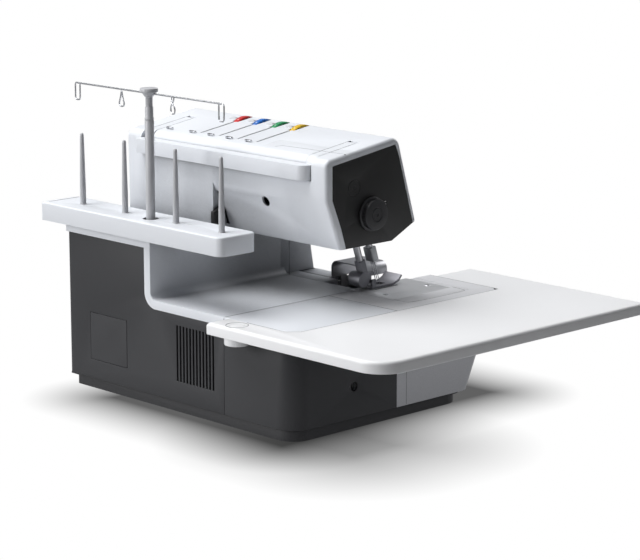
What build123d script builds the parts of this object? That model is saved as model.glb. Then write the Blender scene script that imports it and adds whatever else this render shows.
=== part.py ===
from build123d import *

import math
import os

# A coverstitch sewing machine with its thread stand and slide-on extension table.
# Millimetres. +X runs to the handwheel end, +Y to the thread stand, +Z up.
# The origin is the centre of the bounding box, at the bottom of the rubber feet.

os.makedirs("parts", exist_ok=True)

# Driving dimensions --------------------------------------------------------
overall_length = 570
overall_depth = 412
wall = 3
touch_gap = 0.3
running_gap = 0.05
assembly_gap = 0.4

# Base
body_length = 377
body_depth = 319
tray_overhang_right = 33
table_back_margin = 30
foot_height = 4
foot_radius = 10
foot_inset_x = 22
foot_inset_y = 37
plinth_height = 12
plinth_inset = 2
plinth_inset_right = 10
plinth_inset_front = 12
plinth_flange = 2
bed_height = 124
ledge_height = 191
deck_rim = 10
corner_radius = 25
right_corner_radius = 8
front_left_corner = 12
front_lean = 45
front_lip = 10
seam_x_from_right = 270
front_seam_y = 20
column_width = 148

# Arm
arm_length = 332
arm_right_inset = 4
arm_depth = 139.5
arm_top_front = 306
arm_top_front_y = -22
arm_top_slope = 0.1445
arm_lean_height = 55
arm_lean_depth = 20.7
arm_nose_height = 16.4
arm_step_x = 98.5
arm_draft = 0.7
arm_chin_y = -10
arm_end_plate_thickness = 4
arm_right_round = 5
arm_left_round = 4

# Thread stand
tray_length = 310
tray_depth = 53
tray_height = 21
tray_behind_body = 10
tray_corner = 9
tray_end_corner = 3
spool_pin_height = 82
spool_pin_radius = 3.4
spool_pin_tip_radius = 2.1
spool_pin_root_radius = 3.8
mast_radius = 5.1
mast_tube_wall = 0.5
mast_outer_height = 112.5
mast_middle_step = 11.8
mast_top_step = 12.5
mast_cap_height = 8
mast_travel = 100

# Extension table
table_thickness = 13
table_side_width = 159
table_right_from_left = 261
table_corner = 32
table_front_corner = 14
table_end_corner = 13
table_front_end_corner = 5
table_edge = 4
table_lower_edge = 0.8

# Sewing head
slant_degrees = 18
needle_stroke_down = 14
needle_stroke_up = 12
presser_lift = 6.5
foot_width = 26
foot_length = 44

# Derived places ------------------------------------------------------------
body_right = overall_length / 2 - tray_overhang_right
body_left = body_right - body_length
body_back = overall_depth / 2 - table_back_margin
body_front = body_back - body_depth
cover_base = foot_height + plinth_height
seam_x = body_right - seam_x_from_right
column_left = body_right - column_width
front_foot_y = body_front + front_lean
skin_top = bed_height - wall
rim_base = bed_height - deck_rim
ledge_rim_base = ledge_height - deck_rim
column_back_seam = 60
column_front_seam = -21
column_front = -74
column_front_top = -62
deck_front = -27
rail_front = -50

arm_right = body_right - arm_right_inset
arm_left = arm_right - arm_length
arm_back = 88
arm_front = arm_back - arm_depth


def arm_top(y):
    """Height of the arm's sloping top at a given depth."""
    return arm_top_front - arm_top_slope * (y - arm_top_front_y)


arm_upper_profile = [
    (arm_back - arm_draft, ledge_height + arm_lean_height),
    (arm_back, arm_top(arm_back)),
    (arm_top_front_y, arm_top_front),
    (arm_front, ledge_height + arm_nose_height),
    (arm_chin_y, ledge_height),
]
arm_profile = [(arm_back - arm_draft - arm_lean_depth, ledge_height)] + arm_upper_profile
column_profile = [(arm_back - arm_draft, ledge_height)] + arm_upper_profile

slant = math.radians(slant_degrees)
slant_direction = (0, math.sin(slant), math.cos(slant))
needle_x = -18
needle_y = -59
presser_x = -16
presser_y = -41
needle_plane = Plane(origin=(needle_x, needle_y, bed_height), x_dir=(1, 0, 0), z_dir=slant_direction)
presser_plane = Plane(origin=(presser_x, presser_y, bed_height), x_dir=(1, 0, 0), z_dir=slant_direction)

main_shaft_y = 40
main_shaft_z = 90
main_shaft_radius = 6
arm_shaft_y = 15
arm_shaft_z = 240
arm_shaft_radius = 5
motor_y = 115
motor_z = 60
motor_radius = 28
motor_shaft_radius = 4
lifter_y = 40
lifter_z = 225
lifter_radius = 4
looper_x = 25
looper_z = 70
looper_radius = 4

dial_pitch = 31.4
dial_centre_y = -6
dial_centre_z = 280.2
dial_radius = 26
dial_slot_play = 1
dial_width = 8
dial_shaft_radius = 3
dial_colours = ["red", "blue", "green", "yellow"]
dial_xs = [146.4 - dial_pitch * index for index in range(4)]
thread_slot_width = 2.4
thread_slot_front = 13
thread_slot_back = 62.6

handle_left = -60
handle_right = 221
handle_depth = 16
handle_height = 16.5
handle_corner = 13
handle_end_corner = 3
handle_round = 9
handle_back = arm_back + 10
handle_front = handle_back - handle_depth
handle_top = arm_top(handle_front - handle_round) - handle_round
handle_arm_width = 13
handle_arm_depth = 9
handle_pivot_y = 20
handle_pivot_z = arm_top(handle_pivot_y) - 5
handle_pin_radius = 2
handle_eye_radius = 5
handle_arm_xs = [handle_left + handle_arm_width / 2, handle_right - handle_arm_width / 2]
handle_play = 0.9

tray_right = overall_length / 2
tray_left = tray_right - tray_length
tray_back = body_back + tray_behind_body
tray_front = tray_back - tray_depth
tray_top = ledge_height + tray_height
bracket_thickness = 3
bracket_top = ledge_height + bracket_thickness
pin_y = tray_back - 24.5
pin_xs = [238, 162.8, 75.6, 0.4]
guide_loop_xs = [240.5, 162.6, 75.8, -3.5]
mast_x = 115.5
mast_y = tray_back - 22

table_left = -overall_length / 2
table_right = table_left + table_right_from_left
table_back = overall_depth / 2
table_front = -overall_depth / 2
table_base = bed_height - table_thickness
table_inner_left = body_left - assembly_gap
table_inner_back = body_back + assembly_gap
table_inner_front = body_front - assembly_gap
catch_x = table_right - 32
catch_y = table_back - 15
catch_radius = 12
catch_depth = 14

plate_left = -83
plate_right = -12
plate_front = -110
plate_back = -18
guard_left = 1
guard_right = 50
looper_cover_left = seam_x + 2
looper_cover_right = 186
knob_y = 19.9
knob_z = 225.4
knob_radius = 18.9
knob_grip_radius = 17
knob_base_length = 3
knob_length = 10


def block(low, high, mode=Mode.ADD):
    """Add a box between two opposite corners to the part being built."""
    size = [end - start for start, end in zip(low, high)]
    centre = [(start + end) / 2 for start, end in zip(low, high)]
    with Locations(tuple(centre)):
        Box(*size, mode=mode)


def rod_x(start, end, y, z, radius, mode=Mode.ADD):
    """Add a round bar along X to the part being built."""
    with Locations(((start + end) / 2, y, z)):
        Cylinder(radius, end - start, rotation=(0, 90, 0), mode=mode)


def rod_z(x, y, low, high, radius, mode=Mode.ADD):
    """Add a round bar along Z to the part being built."""
    with Locations((x, y, (low + high) / 2)):
        Cylinder(radius, high - low, mode=mode)


def write(builder, name):
    """Label a finished piece and write its STEP file."""
    builder.part.label = name
    export_step(builder.part, "parts/" + name + ".step")


# Rubber feet ---------------------------------------------------------------
foot_xs = [body_left + foot_inset_x, body_right - foot_inset_x]
foot_ys = [front_foot_y + foot_inset_y + 10, body_back - foot_inset_y]
with BuildPart() as rubber_feet:
    for foot_x in foot_xs:
        for foot_y in foot_ys:
            rod_z(foot_x, foot_y, 0, foot_height, foot_radius)
    chamfer(rubber_feet.faces().group_by(Axis.Z)[0].edges(), 1)
write(rubber_feet, "rubber_feet")

# Base pan: the shallow plinth that carries everything ----------------------
pan_left = body_left + plinth_inset
pan_right = body_right - plinth_inset_right
pan_back = body_back - plinth_inset
pan_front = front_foot_y + plinth_inset_front
with BuildPart() as base_pan:
    block((pan_left, pan_front, foot_height), (pan_right, pan_back, cover_base))
    fillet(base_pan.edges().filter_by(Axis.Z).group_by(Axis.X)[0], corner_radius - plinth_inset)
    fillet(base_pan.edges().filter_by(Axis.Z).group_by(Axis.X)[-1], right_corner_radius)
    offset(amount=-wall, openings=base_pan.faces().sort_by(Axis.Z)[-1])
    # Flange that the covers stand on
    with BuildSketch(Plane.XY.offset(cover_base - plinth_flange)) as pan_flange:
        flange_right = body_right - plinth_inset
        flange_front = front_foot_y + plinth_inset
        with Locations(((pan_left + flange_right) / 2, (flange_front + pan_back) / 2)):
            Rectangle(flange_right - pan_left, pan_back - flange_front)
        fillet(pan_flange.vertices().group_by(Axis.X)[0], corner_radius - plinth_inset)
        with Locations(((pan_left + pan_right) / 2, (pan_front + pan_back) / 2)):
            Rectangle(pan_right - pan_left - 2 * corner_radius, pan_back - pan_front - 2 * wall, mode=Mode.SUBTRACT)
    extrude(amount=plinth_flange)
write(base_pan, "base_pan")

# Main frame: the casting that carries shafts, motor, head and plate --------
slab_base = foot_height + wall
slab_top = slab_base + 7
beam_base = 258
beam_top = 276
beam_back = 60
beam_front = 30
slab_left = -105
slab_right = 234
slab_front = -80
slab_back = 150
frame_column_left = 175
frame_column_right = 200
frame_column_front = 10
frame_column_back = 56
bracket_left = -100
bracket_right = -40
motor_plate_x = 196
board_top = 22
board_xs = [30, 100]
board_ys = [90, 135]
board_post_radius = 3
head_left = -40
head_right = 8
upper_head_front = -22
lower_head_front = -36
lower_head_base = 206
head_thickness = 10
needle_bar_radius = 3.5
presser_bar_radius = 4
presser_bar_bore = 2.4
with BuildPart() as main_frame:
    block((slab_left, slab_front, slab_base), (slab_right, slab_back, slab_top))
    low = (frame_column_left, frame_column_front, slab_top)
    block(low, (frame_column_right, frame_column_back, beam_top))
    block((head_left, beam_front, beam_base), (frame_column_left, beam_back, beam_top))
    # Head: two slanted-bar guides joined by a side web
    low = (head_left, upper_head_front, beam_top - head_thickness)
    block(low, (head_right, beam_front, beam_top))
    low = (head_left, lower_head_front, lower_head_base)
    block(low, (head_right, beam_back, lower_head_base + head_thickness))
    block((head_left, beam_front, lower_head_base), (head_left + 8, beam_back, beam_top))
    with BuildSketch(needle_plane):
        Circle(needle_bar_radius + running_gap)
    extrude(amount=200, mode=Mode.SUBTRACT)
    with BuildSketch(presser_plane):
        Circle(presser_bar_radius + running_gap)
    extrude(amount=200, mode=Mode.SUBTRACT)
    # Bearings of the arm shaft and of the lifter shaft
    block((14, 5, arm_shaft_z - 10), (24, 30, beam_top))
    rod_x(14, frame_column_right, arm_shaft_y, arm_shaft_z, arm_shaft_radius + running_gap, Mode.SUBTRACT)
    for bearing_x in (30, 66):
        block((bearing_x, lifter_y - 8, lifter_z - 8), (bearing_x + 8, lifter_y + 8, beam_base))
    rod_x(30, 74, lifter_y, lifter_z, lifter_radius + running_gap, Mode.SUBTRACT)
    # Main shaft bearings
    block((-60, 28, slab_top), (-45, 52, main_shaft_z + 12))
    rod_x(-60, frame_column_right, main_shaft_y, main_shaft_z, main_shaft_radius + running_gap, Mode.SUBTRACT)
    # Motor plate
    block((motor_plate_x, 82, slab_top), (motor_plate_x + 4, 148, motor_z + motor_radius))
    rod_x(motor_plate_x, motor_plate_x + 4, motor_y, motor_z, motor_shaft_radius + 1, Mode.SUBTRACT)
    # Needle plate bracket on its pillar
    block((bracket_left, plate_front + 2, skin_top - 7), (bracket_right, plate_back + 30, skin_top))
    block((-90, -50, slab_top), (-70, 0, skin_top))
    for screw_x, screw_y in ((-58, -30), (-55, -100)):
        rod_z(screw_x, screw_y, skin_top - 7, skin_top, 2.05, Mode.SUBTRACT)
    # Feed bar table, looper bearing and guard post
    block((-36, 0, slab_top), (-10, 20, rim_base - 3))
    block((looper_x - 10, -40, slab_top), (looper_x + 10, -28, looper_z + 10))
    with BuildSketch(Plane.XZ.offset(28)):
        with Locations((looper_x, looper_z)):
            Circle(looper_radius + running_gap)
    extrude(amount=12, mode=Mode.SUBTRACT)
    block((guard_right, -78, slab_top), (guard_right + 4, -64, bed_height - 6))
    # Posts of the control board
    for board_x in board_xs:
        for board_y in board_ys:
            rod_z(board_x, board_y, slab_top, board_top, board_post_radius)
write(main_frame, "main_frame")

# Rear cover with its vents -------------------------------------------------
vent_count = 12
vent_pitch = 5.4
vent_first_x = 0
vent_base = 39
vent_top = 102
vent_width = 2.6
door_left = 146
door_right = 211
door_base = 38
door_top = 93
inlet_y = 130
inlet_z = 40
inlet_width = 24
inlet_height = 22
switch_y = 156
switch_width = 12
switch_height = 18
strip_outer = column_left + deck_rim
strip_cove = 18
with BuildPart() as rear_cover:
    block((seam_x, 0, cover_base), (body_right, body_back, ledge_rim_base))
    fillet(rear_cover.edges().filter_by(Axis.Z).sort_by(Axis.X)[-2:].sort_by(Axis.Y)[-1], right_corner_radius)
    low = (seam_x - 1, -1, cover_base - 1)
    block(low, (body_right - wall, body_back - wall, ledge_height), Mode.SUBTRACT)
    block((seam_x - 1, -1, rim_base), (strip_outer, body_back + 1, ledge_height), Mode.SUBTRACT)
    with BuildSketch(Plane.XZ.offset(-body_back)) as cove_fill:
        with Locations((strip_outer - strip_cove / 2, rim_base + strip_cove / 2)):
            Rectangle(strip_cove, strip_cove)
        with Locations((strip_outer - strip_cove, rim_base + strip_cove)):
            Circle(strip_cove, mode=Mode.SUBTRACT)
    extrude(amount=wall)
    for vent in range(vent_count):
        vent_x = vent_first_x + vent * vent_pitch
        low = (vent_x - vent_width / 2, body_back - wall - 1, vent_base)
        high = (vent_x + vent_width / 2, body_back + 1, vent_top)
        block(low, high, Mode.SUBTRACT)
    low = (door_left, body_back - wall - 1, door_base)
    high = (door_right, body_back + 1, door_top)
    block(low, high, Mode.SUBTRACT)
    shaft_hole = main_shaft_radius + 2
    rod_x(body_right - wall - 1, body_right + 1, main_shaft_y, main_shaft_z, shaft_hole, Mode.SUBTRACT)
    for centre_y, width, height in (
        (inlet_y, inlet_width, inlet_height),
        (switch_y, switch_width, switch_height),
    ):
        low = (body_right - wall - 1, centre_y - width / 2 - touch_gap, inlet_z - height / 2 - touch_gap)
        high = (body_right + 1, centre_y + width / 2 + touch_gap, inlet_z + height / 2 + touch_gap)
        block(low, high, Mode.SUBTRACT)
write(rear_cover, "rear_cover")

with BuildPart() as service_door:
    low = (door_left + touch_gap, body_back - wall, door_base + touch_gap)
    high = (door_right - touch_gap, body_back, door_top - touch_gap)
    block(low, high)
    fillet(service_door.edges().filter_by(Axis.Y), 1.5)
write(service_door, "service_door")

# Left cover: the dark shell under the table side --------------------------
cover_hole_y = 85
cover_hole_z = 51
cover_hole_radius = 5
with BuildPart() as left_cover:
    block((body_left, front_seam_y, cover_base), (seam_x, body_back, rim_base))
    fillet(left_cover.edges().filter_by(Axis.Z).group_by(Axis.X)[0].sort_by(Axis.Y)[-1], corner_radius)
    with BuildSketch(Plane.XY.offset(cover_base)) as left_inside:
        with Locations(((body_left + wall + seam_x + 1) / 2, (front_seam_y - 1 + body_back - wall) / 2)):
            Rectangle(seam_x + 1 - body_left - wall, body_back - wall - front_seam_y + 1)
        fillet(left_inside.vertices().group_by(Axis.X)[0].sort_by(Axis.Y)[-1], corner_radius - wall)
    extrude(amount=rim_base - cover_base, mode=Mode.SUBTRACT)
    rod_x(body_left - 1, body_left + wall + 1, cover_hole_y, cover_hole_z, cover_hole_radius, Mode.SUBTRACT)
write(left_cover, "left_cover")

# Bed cover: rear deck, column side and ledge in one moulding ---------------
deck_cove = 8
with BuildPart() as bed_cover:
    with BuildSketch(Plane.XZ.offset(-body_back)) as bed_band:
        with BuildLine():
            Polyline(
                (seam_x, rim_base),
                (seam_x, bed_height),
                (column_left, bed_height),
                (column_left, ledge_height),
                (body_right, ledge_height),
                (body_right, ledge_rim_base),
                (strip_outer, ledge_rim_base),
                (strip_outer, rim_base),
                close=True,
            )
        make_face()
        for corner_x, corner_z, radius in (
            (column_left, bed_height, deck_cove),
            (strip_outer, rim_base, strip_cove),
        ):
            fillet(bed_band.vertices().sort_by_distance((corner_x, corner_z, 0))[0], radius)
    extrude(amount=body_back - deck_front)
    inside_back = body_back - wall
    low = (seam_x - 1, deck_front - 1, rim_base - 1)
    block(low, (column_left + wall, inside_back, skin_top), Mode.SUBTRACT)
    low = (column_left + wall, deck_front - 1, rim_base - 1)
    block(low, (strip_outer + 1, inside_back, ledge_height - wall), Mode.SUBTRACT)
    low = (column_left + wall, deck_front - 1, ledge_rim_base - 1)
    block(low, (body_right - wall, inside_back, ledge_height - wall), Mode.SUBTRACT)
    low = (column_left + wall, deck_front - 1, ledge_rim_base - 1)
    block(low, (body_right + 1, column_back_seam, ledge_height + 1), Mode.SUBTRACT)
    low = (column_left, deck_front - 1, rim_base - 1)
    block(low, (strip_outer + 1, column_front_seam, ledge_height + 1), Mode.SUBTRACT)
    low = (seam_x - 1, deck_front - 1, rim_base - 1)
    block(low, (plate_right + touch_gap, plate_back, bed_height + 1), Mode.SUBTRACT)
write(bed_cover, "bed_cover")

with BuildPart() as left_bed_cover:
    block((body_left, front_seam_y, rim_base), (seam_x, body_back, bed_height))
    fillet(left_bed_cover.edges().filter_by(Axis.Z).group_by(Axis.X)[0].sort_by(Axis.Y)[-1], corner_radius)
    with BuildSketch(Plane.XY.offset(rim_base)) as left_bed_inside:
        with Locations(((body_left + wall + seam_x + 1) / 2, (front_seam_y - 1 + body_back - wall) / 2)):
            Rectangle(seam_x + 1 - body_left - wall, body_back - wall - front_seam_y + 1)
        fillet(left_bed_inside.vertices().group_by(Axis.X)[0].sort_by(Axis.Y)[-1], corner_radius - wall)
    extrude(amount=deck_rim - wall, mode=Mode.SUBTRACT)
write(left_bed_cover, "left_bed_cover")

# Front left cover: wraps the plate and the front left corner ---------------
insert_left = -104
insert_front = -118
insert_back = -14
insert_line_width = 0.5
insert_line_depth = 0.6
with BuildPart() as front_left_cover:
    with BuildSketch(Plane.YZ.offset(body_left)):
        with BuildLine():
            Polyline(
                (front_seam_y, cover_base),
                (front_foot_y, cover_base),
                (body_front, bed_height - front_lip),
                (body_front, bed_height),
                (front_seam_y, bed_height),
                close=True,
            )
        make_face()
    extrude(amount=seam_x - body_left)
    left_face = front_left_cover.faces().sort_by(Axis.X)[0]
    left_front_edges = left_face.edges().filter_by(Axis.Y, reverse=True).sort_by(Axis.Y)[:2]
    fillet(left_front_edges, front_left_corner)
    with BuildSketch(Plane.YZ.offset(body_left + wall)):
        with BuildLine():
            Polyline(
                (front_seam_y + 1, cover_base - 1),
                (front_foot_y + wall, cover_base - 1),
                (body_front + wall, bed_height - front_lip - 1),
                (body_front + wall, skin_top),
                (front_seam_y + 1, skin_top),
                close=True,
            )
        make_face()
    extrude(amount=seam_x - body_left - 2 * wall, mode=Mode.SUBTRACT)
    low = (seam_x - wall - 1, plate_front, cover_base - 1)
    block(low, (seam_x + 1, front_seam_y + 1, skin_top), Mode.SUBTRACT)
    block((plate_left, plate_front, skin_top - 1), (seam_x + 1, plate_back, bed_height + 1), Mode.SUBTRACT)
    # Fine joint line of the insert round the plate
    with BuildSketch(Plane.XY.offset(bed_height - insert_line_depth)) as insert_line:
        with Locations(((insert_left + plate_right) / 2, (insert_front + insert_back) / 2)):
            RectangleRounded(plate_right - insert_left, insert_back - insert_front, 4)
        offset(amount=-insert_line_width, mode=Mode.SUBTRACT)
    extrude(amount=insert_line_depth, mode=Mode.SUBTRACT)
write(front_left_cover, "front_left_cover")

# Front cover: column front, right front corner and the short bed rail ------
looper_profile = [
    (front_foot_y, cover_base),
    (body_front, bed_height - 32),
    (body_front + 9, bed_height - 18),
    (column_front - 2, bed_height - 0.5),
]
corner_left = looper_cover_right + touch_gap
rail_left = 39
length_dial_z = 60
differential_dial_z = 98
stitch_dial_y = -36
stitch_dial_radius = 15
stitch_dial_shaft_radius = 3
with BuildPart() as front_cover:
    with BuildSketch(Plane.YZ.offset(corner_left)):
        with BuildLine():
            Polyline(
                *looper_profile,
                (column_front, bed_height),
                (0, bed_height),
                (0, cover_base),
                close=True,
            )
        make_face()
    extrude(amount=body_right - corner_left)
    with BuildSketch(Plane.YZ.offset(column_left)):
        with BuildLine():
            Polyline(
                (column_front, bed_height),
                (column_front_top, ledge_height),
                (column_back_seam, ledge_height),
                (column_back_seam, ledge_rim_base),
                (0, ledge_rim_base),
                (0, bed_height),
                close=True,
            )
        make_face()
    extrude(amount=body_right - column_left)
    low = (column_left, column_front_seam, bed_height - 1)
    block(low, (column_left + wall, column_back_seam + 1, ledge_height), Mode.SUBTRACT)
    with BuildSketch(Plane.YZ.offset(column_left + wall)):
        with BuildLine():
            Polyline(
                (column_front + wall, bed_height - 2),
                (column_front_top + wall, ledge_height - wall),
                (column_back_seam + 1, ledge_height - wall),
                (column_back_seam + 1, bed_height - 2),
                close=True,
            )
        make_face()
    extrude(amount=body_right - column_left - 2 * wall, mode=Mode.SUBTRACT)
    with BuildSketch(Plane.YZ.offset(corner_left + wall)):
        with BuildLine():
            Polyline(
                (front_foot_y + wall, cover_base - 1),
                (body_front + wall, bed_height - 33),
                (body_front + 10, bed_height - 18 - wall),
                (column_front + wall, bed_height - 4),
                (column_front + wall, bed_height),
                (1, bed_height),
                (1, cover_base - 1),
                close=True,
            )
        make_face()
    extrude(amount=body_right - corner_left - 2 * wall, mode=Mode.SUBTRACT)
    low = (column_left + wall, -8, ledge_height - wall - 1)
    block(low, (arm_right - wall, column_back_seam + 1, ledge_height + 1), Mode.SUBTRACT)
    block((rail_left, rail_front, rim_base), (column_left + wall, deck_front, bed_height))
    low = (rail_left + wall, rail_front + wall, rim_base - 1)
    block(low, (column_left - 1, deck_front + 1, skin_top), Mode.SUBTRACT)
    for dial_z in (length_dial_z, differential_dial_z):
        bore = stitch_dial_shaft_radius + running_gap
        rod_x(body_right - wall - 1, body_right + 1, stitch_dial_y, dial_z, bore, Mode.SUBTRACT)
write(front_cover, "front_cover")

# Looper cover: the front door, hinged along its lower edge -----------------
looper_hinge_y = front_foot_y + 1
with BuildPart() as looper_cover:
    with BuildSketch(Plane.YZ.offset(looper_cover_left)):
        with BuildLine():
            Polyline(
                *looper_profile,
                (column_front - 2, bed_height - 0.5 - wall),
                (body_front + 10, bed_height - 18 - wall),
                (body_front + wall, bed_height - 32 - 1),
                (front_foot_y + wall, cover_base),
                close=True,
            )
        make_face()
    extrude(amount=looper_cover_right - looper_cover_left)
    block((56, column_front - 3, skin_top - 0.5), (column_left - 1, rail_front - touch_gap, bed_height - 0.5))
    for hinge_x in (looper_cover_left + 4, looper_cover_right - 16):
        low = (hinge_x, looper_hinge_y, cover_base + 0.5)
        block(low, (hinge_x + 12, looper_hinge_y + 5, cover_base + 6))
    fillet(looper_cover.edges().filter_by(Axis.X).filter_by_position(Axis.Z, 85, 95).sort_by(Axis.Y)[0], 6)
    low = (looper_cover_left - 1, plate_front - touch_gap, skin_top - wall)
    block(low, (plate_right + touch_gap, rail_front, bed_height + 1), Mode.SUBTRACT)
write(looper_cover, "looper_cover")

# Needle plate, its screws and the guard over the looper opening ------------
plate_play = 0.2
needle_slot = (-23, -14, -63, -55)
left_feed_bar = (-32, -28.5, -74, -42)
rear_feed_bar = (-19.5, -14.5, -50, -34)
feed_slot_play_x = 0.7
feed_slot_play_y = 3
plate_screw_places = [(-58, -30), (-55, -100)]
screw_head_radius = 3.5
with BuildPart() as needle_plate:
    low = (plate_left + plate_play, plate_front + plate_play, skin_top)
    block(low, (plate_right, plate_back - plate_play, bed_height))
    slot_left, slot_right, slot_front, slot_back = needle_slot
    block((slot_left, slot_front, skin_top - 1), (slot_right, slot_back, bed_height + 1), Mode.SUBTRACT)
    for left, right, front, back in (left_feed_bar, rear_feed_bar):
        low = (left - feed_slot_play_x, front - feed_slot_play_y, skin_top - 1)
        high = (right + feed_slot_play_x, back + feed_slot_play_y, bed_height + 1)
        block(low, high, Mode.SUBTRACT)
    for screw_x, screw_y in plate_screw_places:
        rod_z(screw_x, screw_y, skin_top - 1, bed_height + 1, 2.1, Mode.SUBTRACT)
        rod_z(screw_x, screw_y, bed_height - 1.5, bed_height + 1, screw_head_radius + 0.1, Mode.SUBTRACT)
write(needle_plate, "needle_plate")

with BuildPart() as plate_screws:
    for screw_x, screw_y in plate_screw_places:
        rod_z(screw_x, screw_y, bed_height - 1.5, bed_height + 0.2, screw_head_radius)
        rod_z(screw_x, screw_y, skin_top - 5, bed_height - 1.5, 2)
        low = (screw_x - screw_head_radius, screw_y - 0.5, bed_height - 0.5)
        block(low, (screw_x + screw_head_radius, screw_y + 0.5, bed_height + 1), Mode.SUBTRACT)
write(plate_screws, "plate_screws")

guard_top = 145
guard_front = -92
guard_sheet = 1.6
guard_round = 9
guard_height = 20.5
with BuildPart() as finger_guard:
    with BuildSketch(Plane.XZ.offset(-rail_front)) as guard_band:
        with Locations(((guard_left + guard_right) / 2, guard_top - guard_height / 2)):
            Rectangle(guard_right - guard_left, guard_height)
        fillet(guard_band.vertices().group_by(Axis.Y)[-1], guard_round)
        offset(amount=-guard_sheet, mode=Mode.SUBTRACT)
        with Locations(((guard_left + guard_right) / 2, guard_top - guard_height)):
            Rectangle(guard_right - guard_left - 2 * guard_sheet, 2 * guard_sheet, mode=Mode.SUBTRACT)
    extrude(amount=rail_front - guard_front)
    low = (guard_left - 1, guard_front - 1, guard_top - 25)
    block(low, (guard_left + guard_sheet + 1, rail_front + 1, guard_top - 14), Mode.SUBTRACT)
    low = (guard_right - guard_sheet, column_front, bed_height - 20)
    block(low, (guard_right, column_front + 10, guard_top - 18))
write(finger_guard, "finger_guard")

# Arm covers ----------------------------------------------------------------
plate_recess = arm_end_plate_thickness
arm_corner_radii = [(2, 9), (3, 12), (4, 3)]
end_plate_profile = [
    (78.3, 283.7),
    (-17.5, 297.4),
    (-23.2, 283.5),
    (-45.8, 207),
    (-12.6, ledge_height),
    (57.8, ledge_height),
    (64.5, 212.6),
    (78.2, 246.4),
]
lifter_slot_left = 91
lifter_slot_right = 98
lifter_slot_base = 197
lifter_slot_top = 236
arm_hole_x = 16
arm_hole_z = 234
arm_hole_radius = 5.6
lens_left = -66
lens_right = -46
lens_front = 20
lens_back = 38
bottom_seam_y = 20
top_seam_y = 45
top_seam_x = 34
top_seam_back_y = 70


above_arm = 40


def handle_channels(margin):
    """Fill the recesses of the folded handle, grown by a margin, in the active part."""
    grown = handle_play + margin
    with BuildSketch(Plane.YZ.offset(handle_left - grown)) as bar_room:
        with BuildLine():
            Polyline(
                (handle_front - grown, handle_top),
                (handle_front - grown, handle_top - handle_height - grown),
                (handle_back + above_arm, handle_top - handle_height - grown),
                (handle_back + above_arm, arm_top_front + above_arm),
                (handle_front - grown - handle_round, arm_top_front + above_arm),
                (handle_front - grown - handle_round, handle_top + handle_round),
            )
            RadiusArc(
                (handle_front - grown - handle_round, handle_top + handle_round),
                (handle_front - grown, handle_top),
                handle_round,
            )
        make_face()
    extrude(bar_room.sketch, amount=handle_right - handle_left + 2 * grown)
    for arm_x in handle_arm_xs:
        half = handle_arm_width / 2 + grown
        with BuildSketch(Plane.YZ.offset(arm_x - half)) as channel:
            with BuildLine():
                Polyline(
                    (handle_pivot_y - handle_eye_radius - grown, handle_pivot_z + above_arm),
                    (handle_pivot_y - handle_eye_radius - grown, handle_pivot_z - handle_eye_radius - grown),
                    (handle_front + 1, handle_top - handle_arm_depth - 3 - grown),
                    (handle_front + 1, handle_pivot_z + above_arm),
                    close=True,
                )
            make_face()
        extrude(channel.sketch, amount=2 * half)


with BuildPart() as arm_outside:
    for start, end, profile, corner_radii in (
        (arm_left, arm_step_x, arm_profile, arm_corner_radii),
        (arm_step_x, arm_right, column_profile, arm_corner_radii),
    ):
        with BuildSketch(Plane.YZ.offset(start)) as outer_loop:
            with BuildLine():
                Polyline(*profile, close=True)
            make_face()
            for corner, radius in corner_radii:
                fillet(outer_loop.vertices().sort_by_distance((*profile[corner], 0))[0], radius)
        extrude(amount=end - start)
    for end, end_round in ((-1, arm_right_round), (0, arm_left_round)):
        end_edges = arm_outside.faces().sort_by(Axis.X)[end].edges()
        fillet(end_edges.filter_by_position(Axis.Z, ledge_height + 1, arm_top_front + 1), end_round)

with BuildPart() as handle_room:
    handle_channels(0)

with BuildPart() as handle_room_walls:
    handle_channels(wall)

with BuildPart() as arm_inside:
    for start, end, profile in (
        (arm_left + arm_end_plate_thickness, arm_step_x + wall, arm_profile),
        (arm_step_x + wall, arm_right - wall, column_profile),
    ):
        with BuildSketch(Plane.YZ.offset(start)) as inner_loop:
            with BuildLine():
                Polyline(*profile, close=True)
            make_face()
            offset(amount=-wall, mode=Mode.REPLACE)
        extrude(amount=end - start)
    add(handle_room_walls.part, mode=Mode.SUBTRACT)

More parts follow.
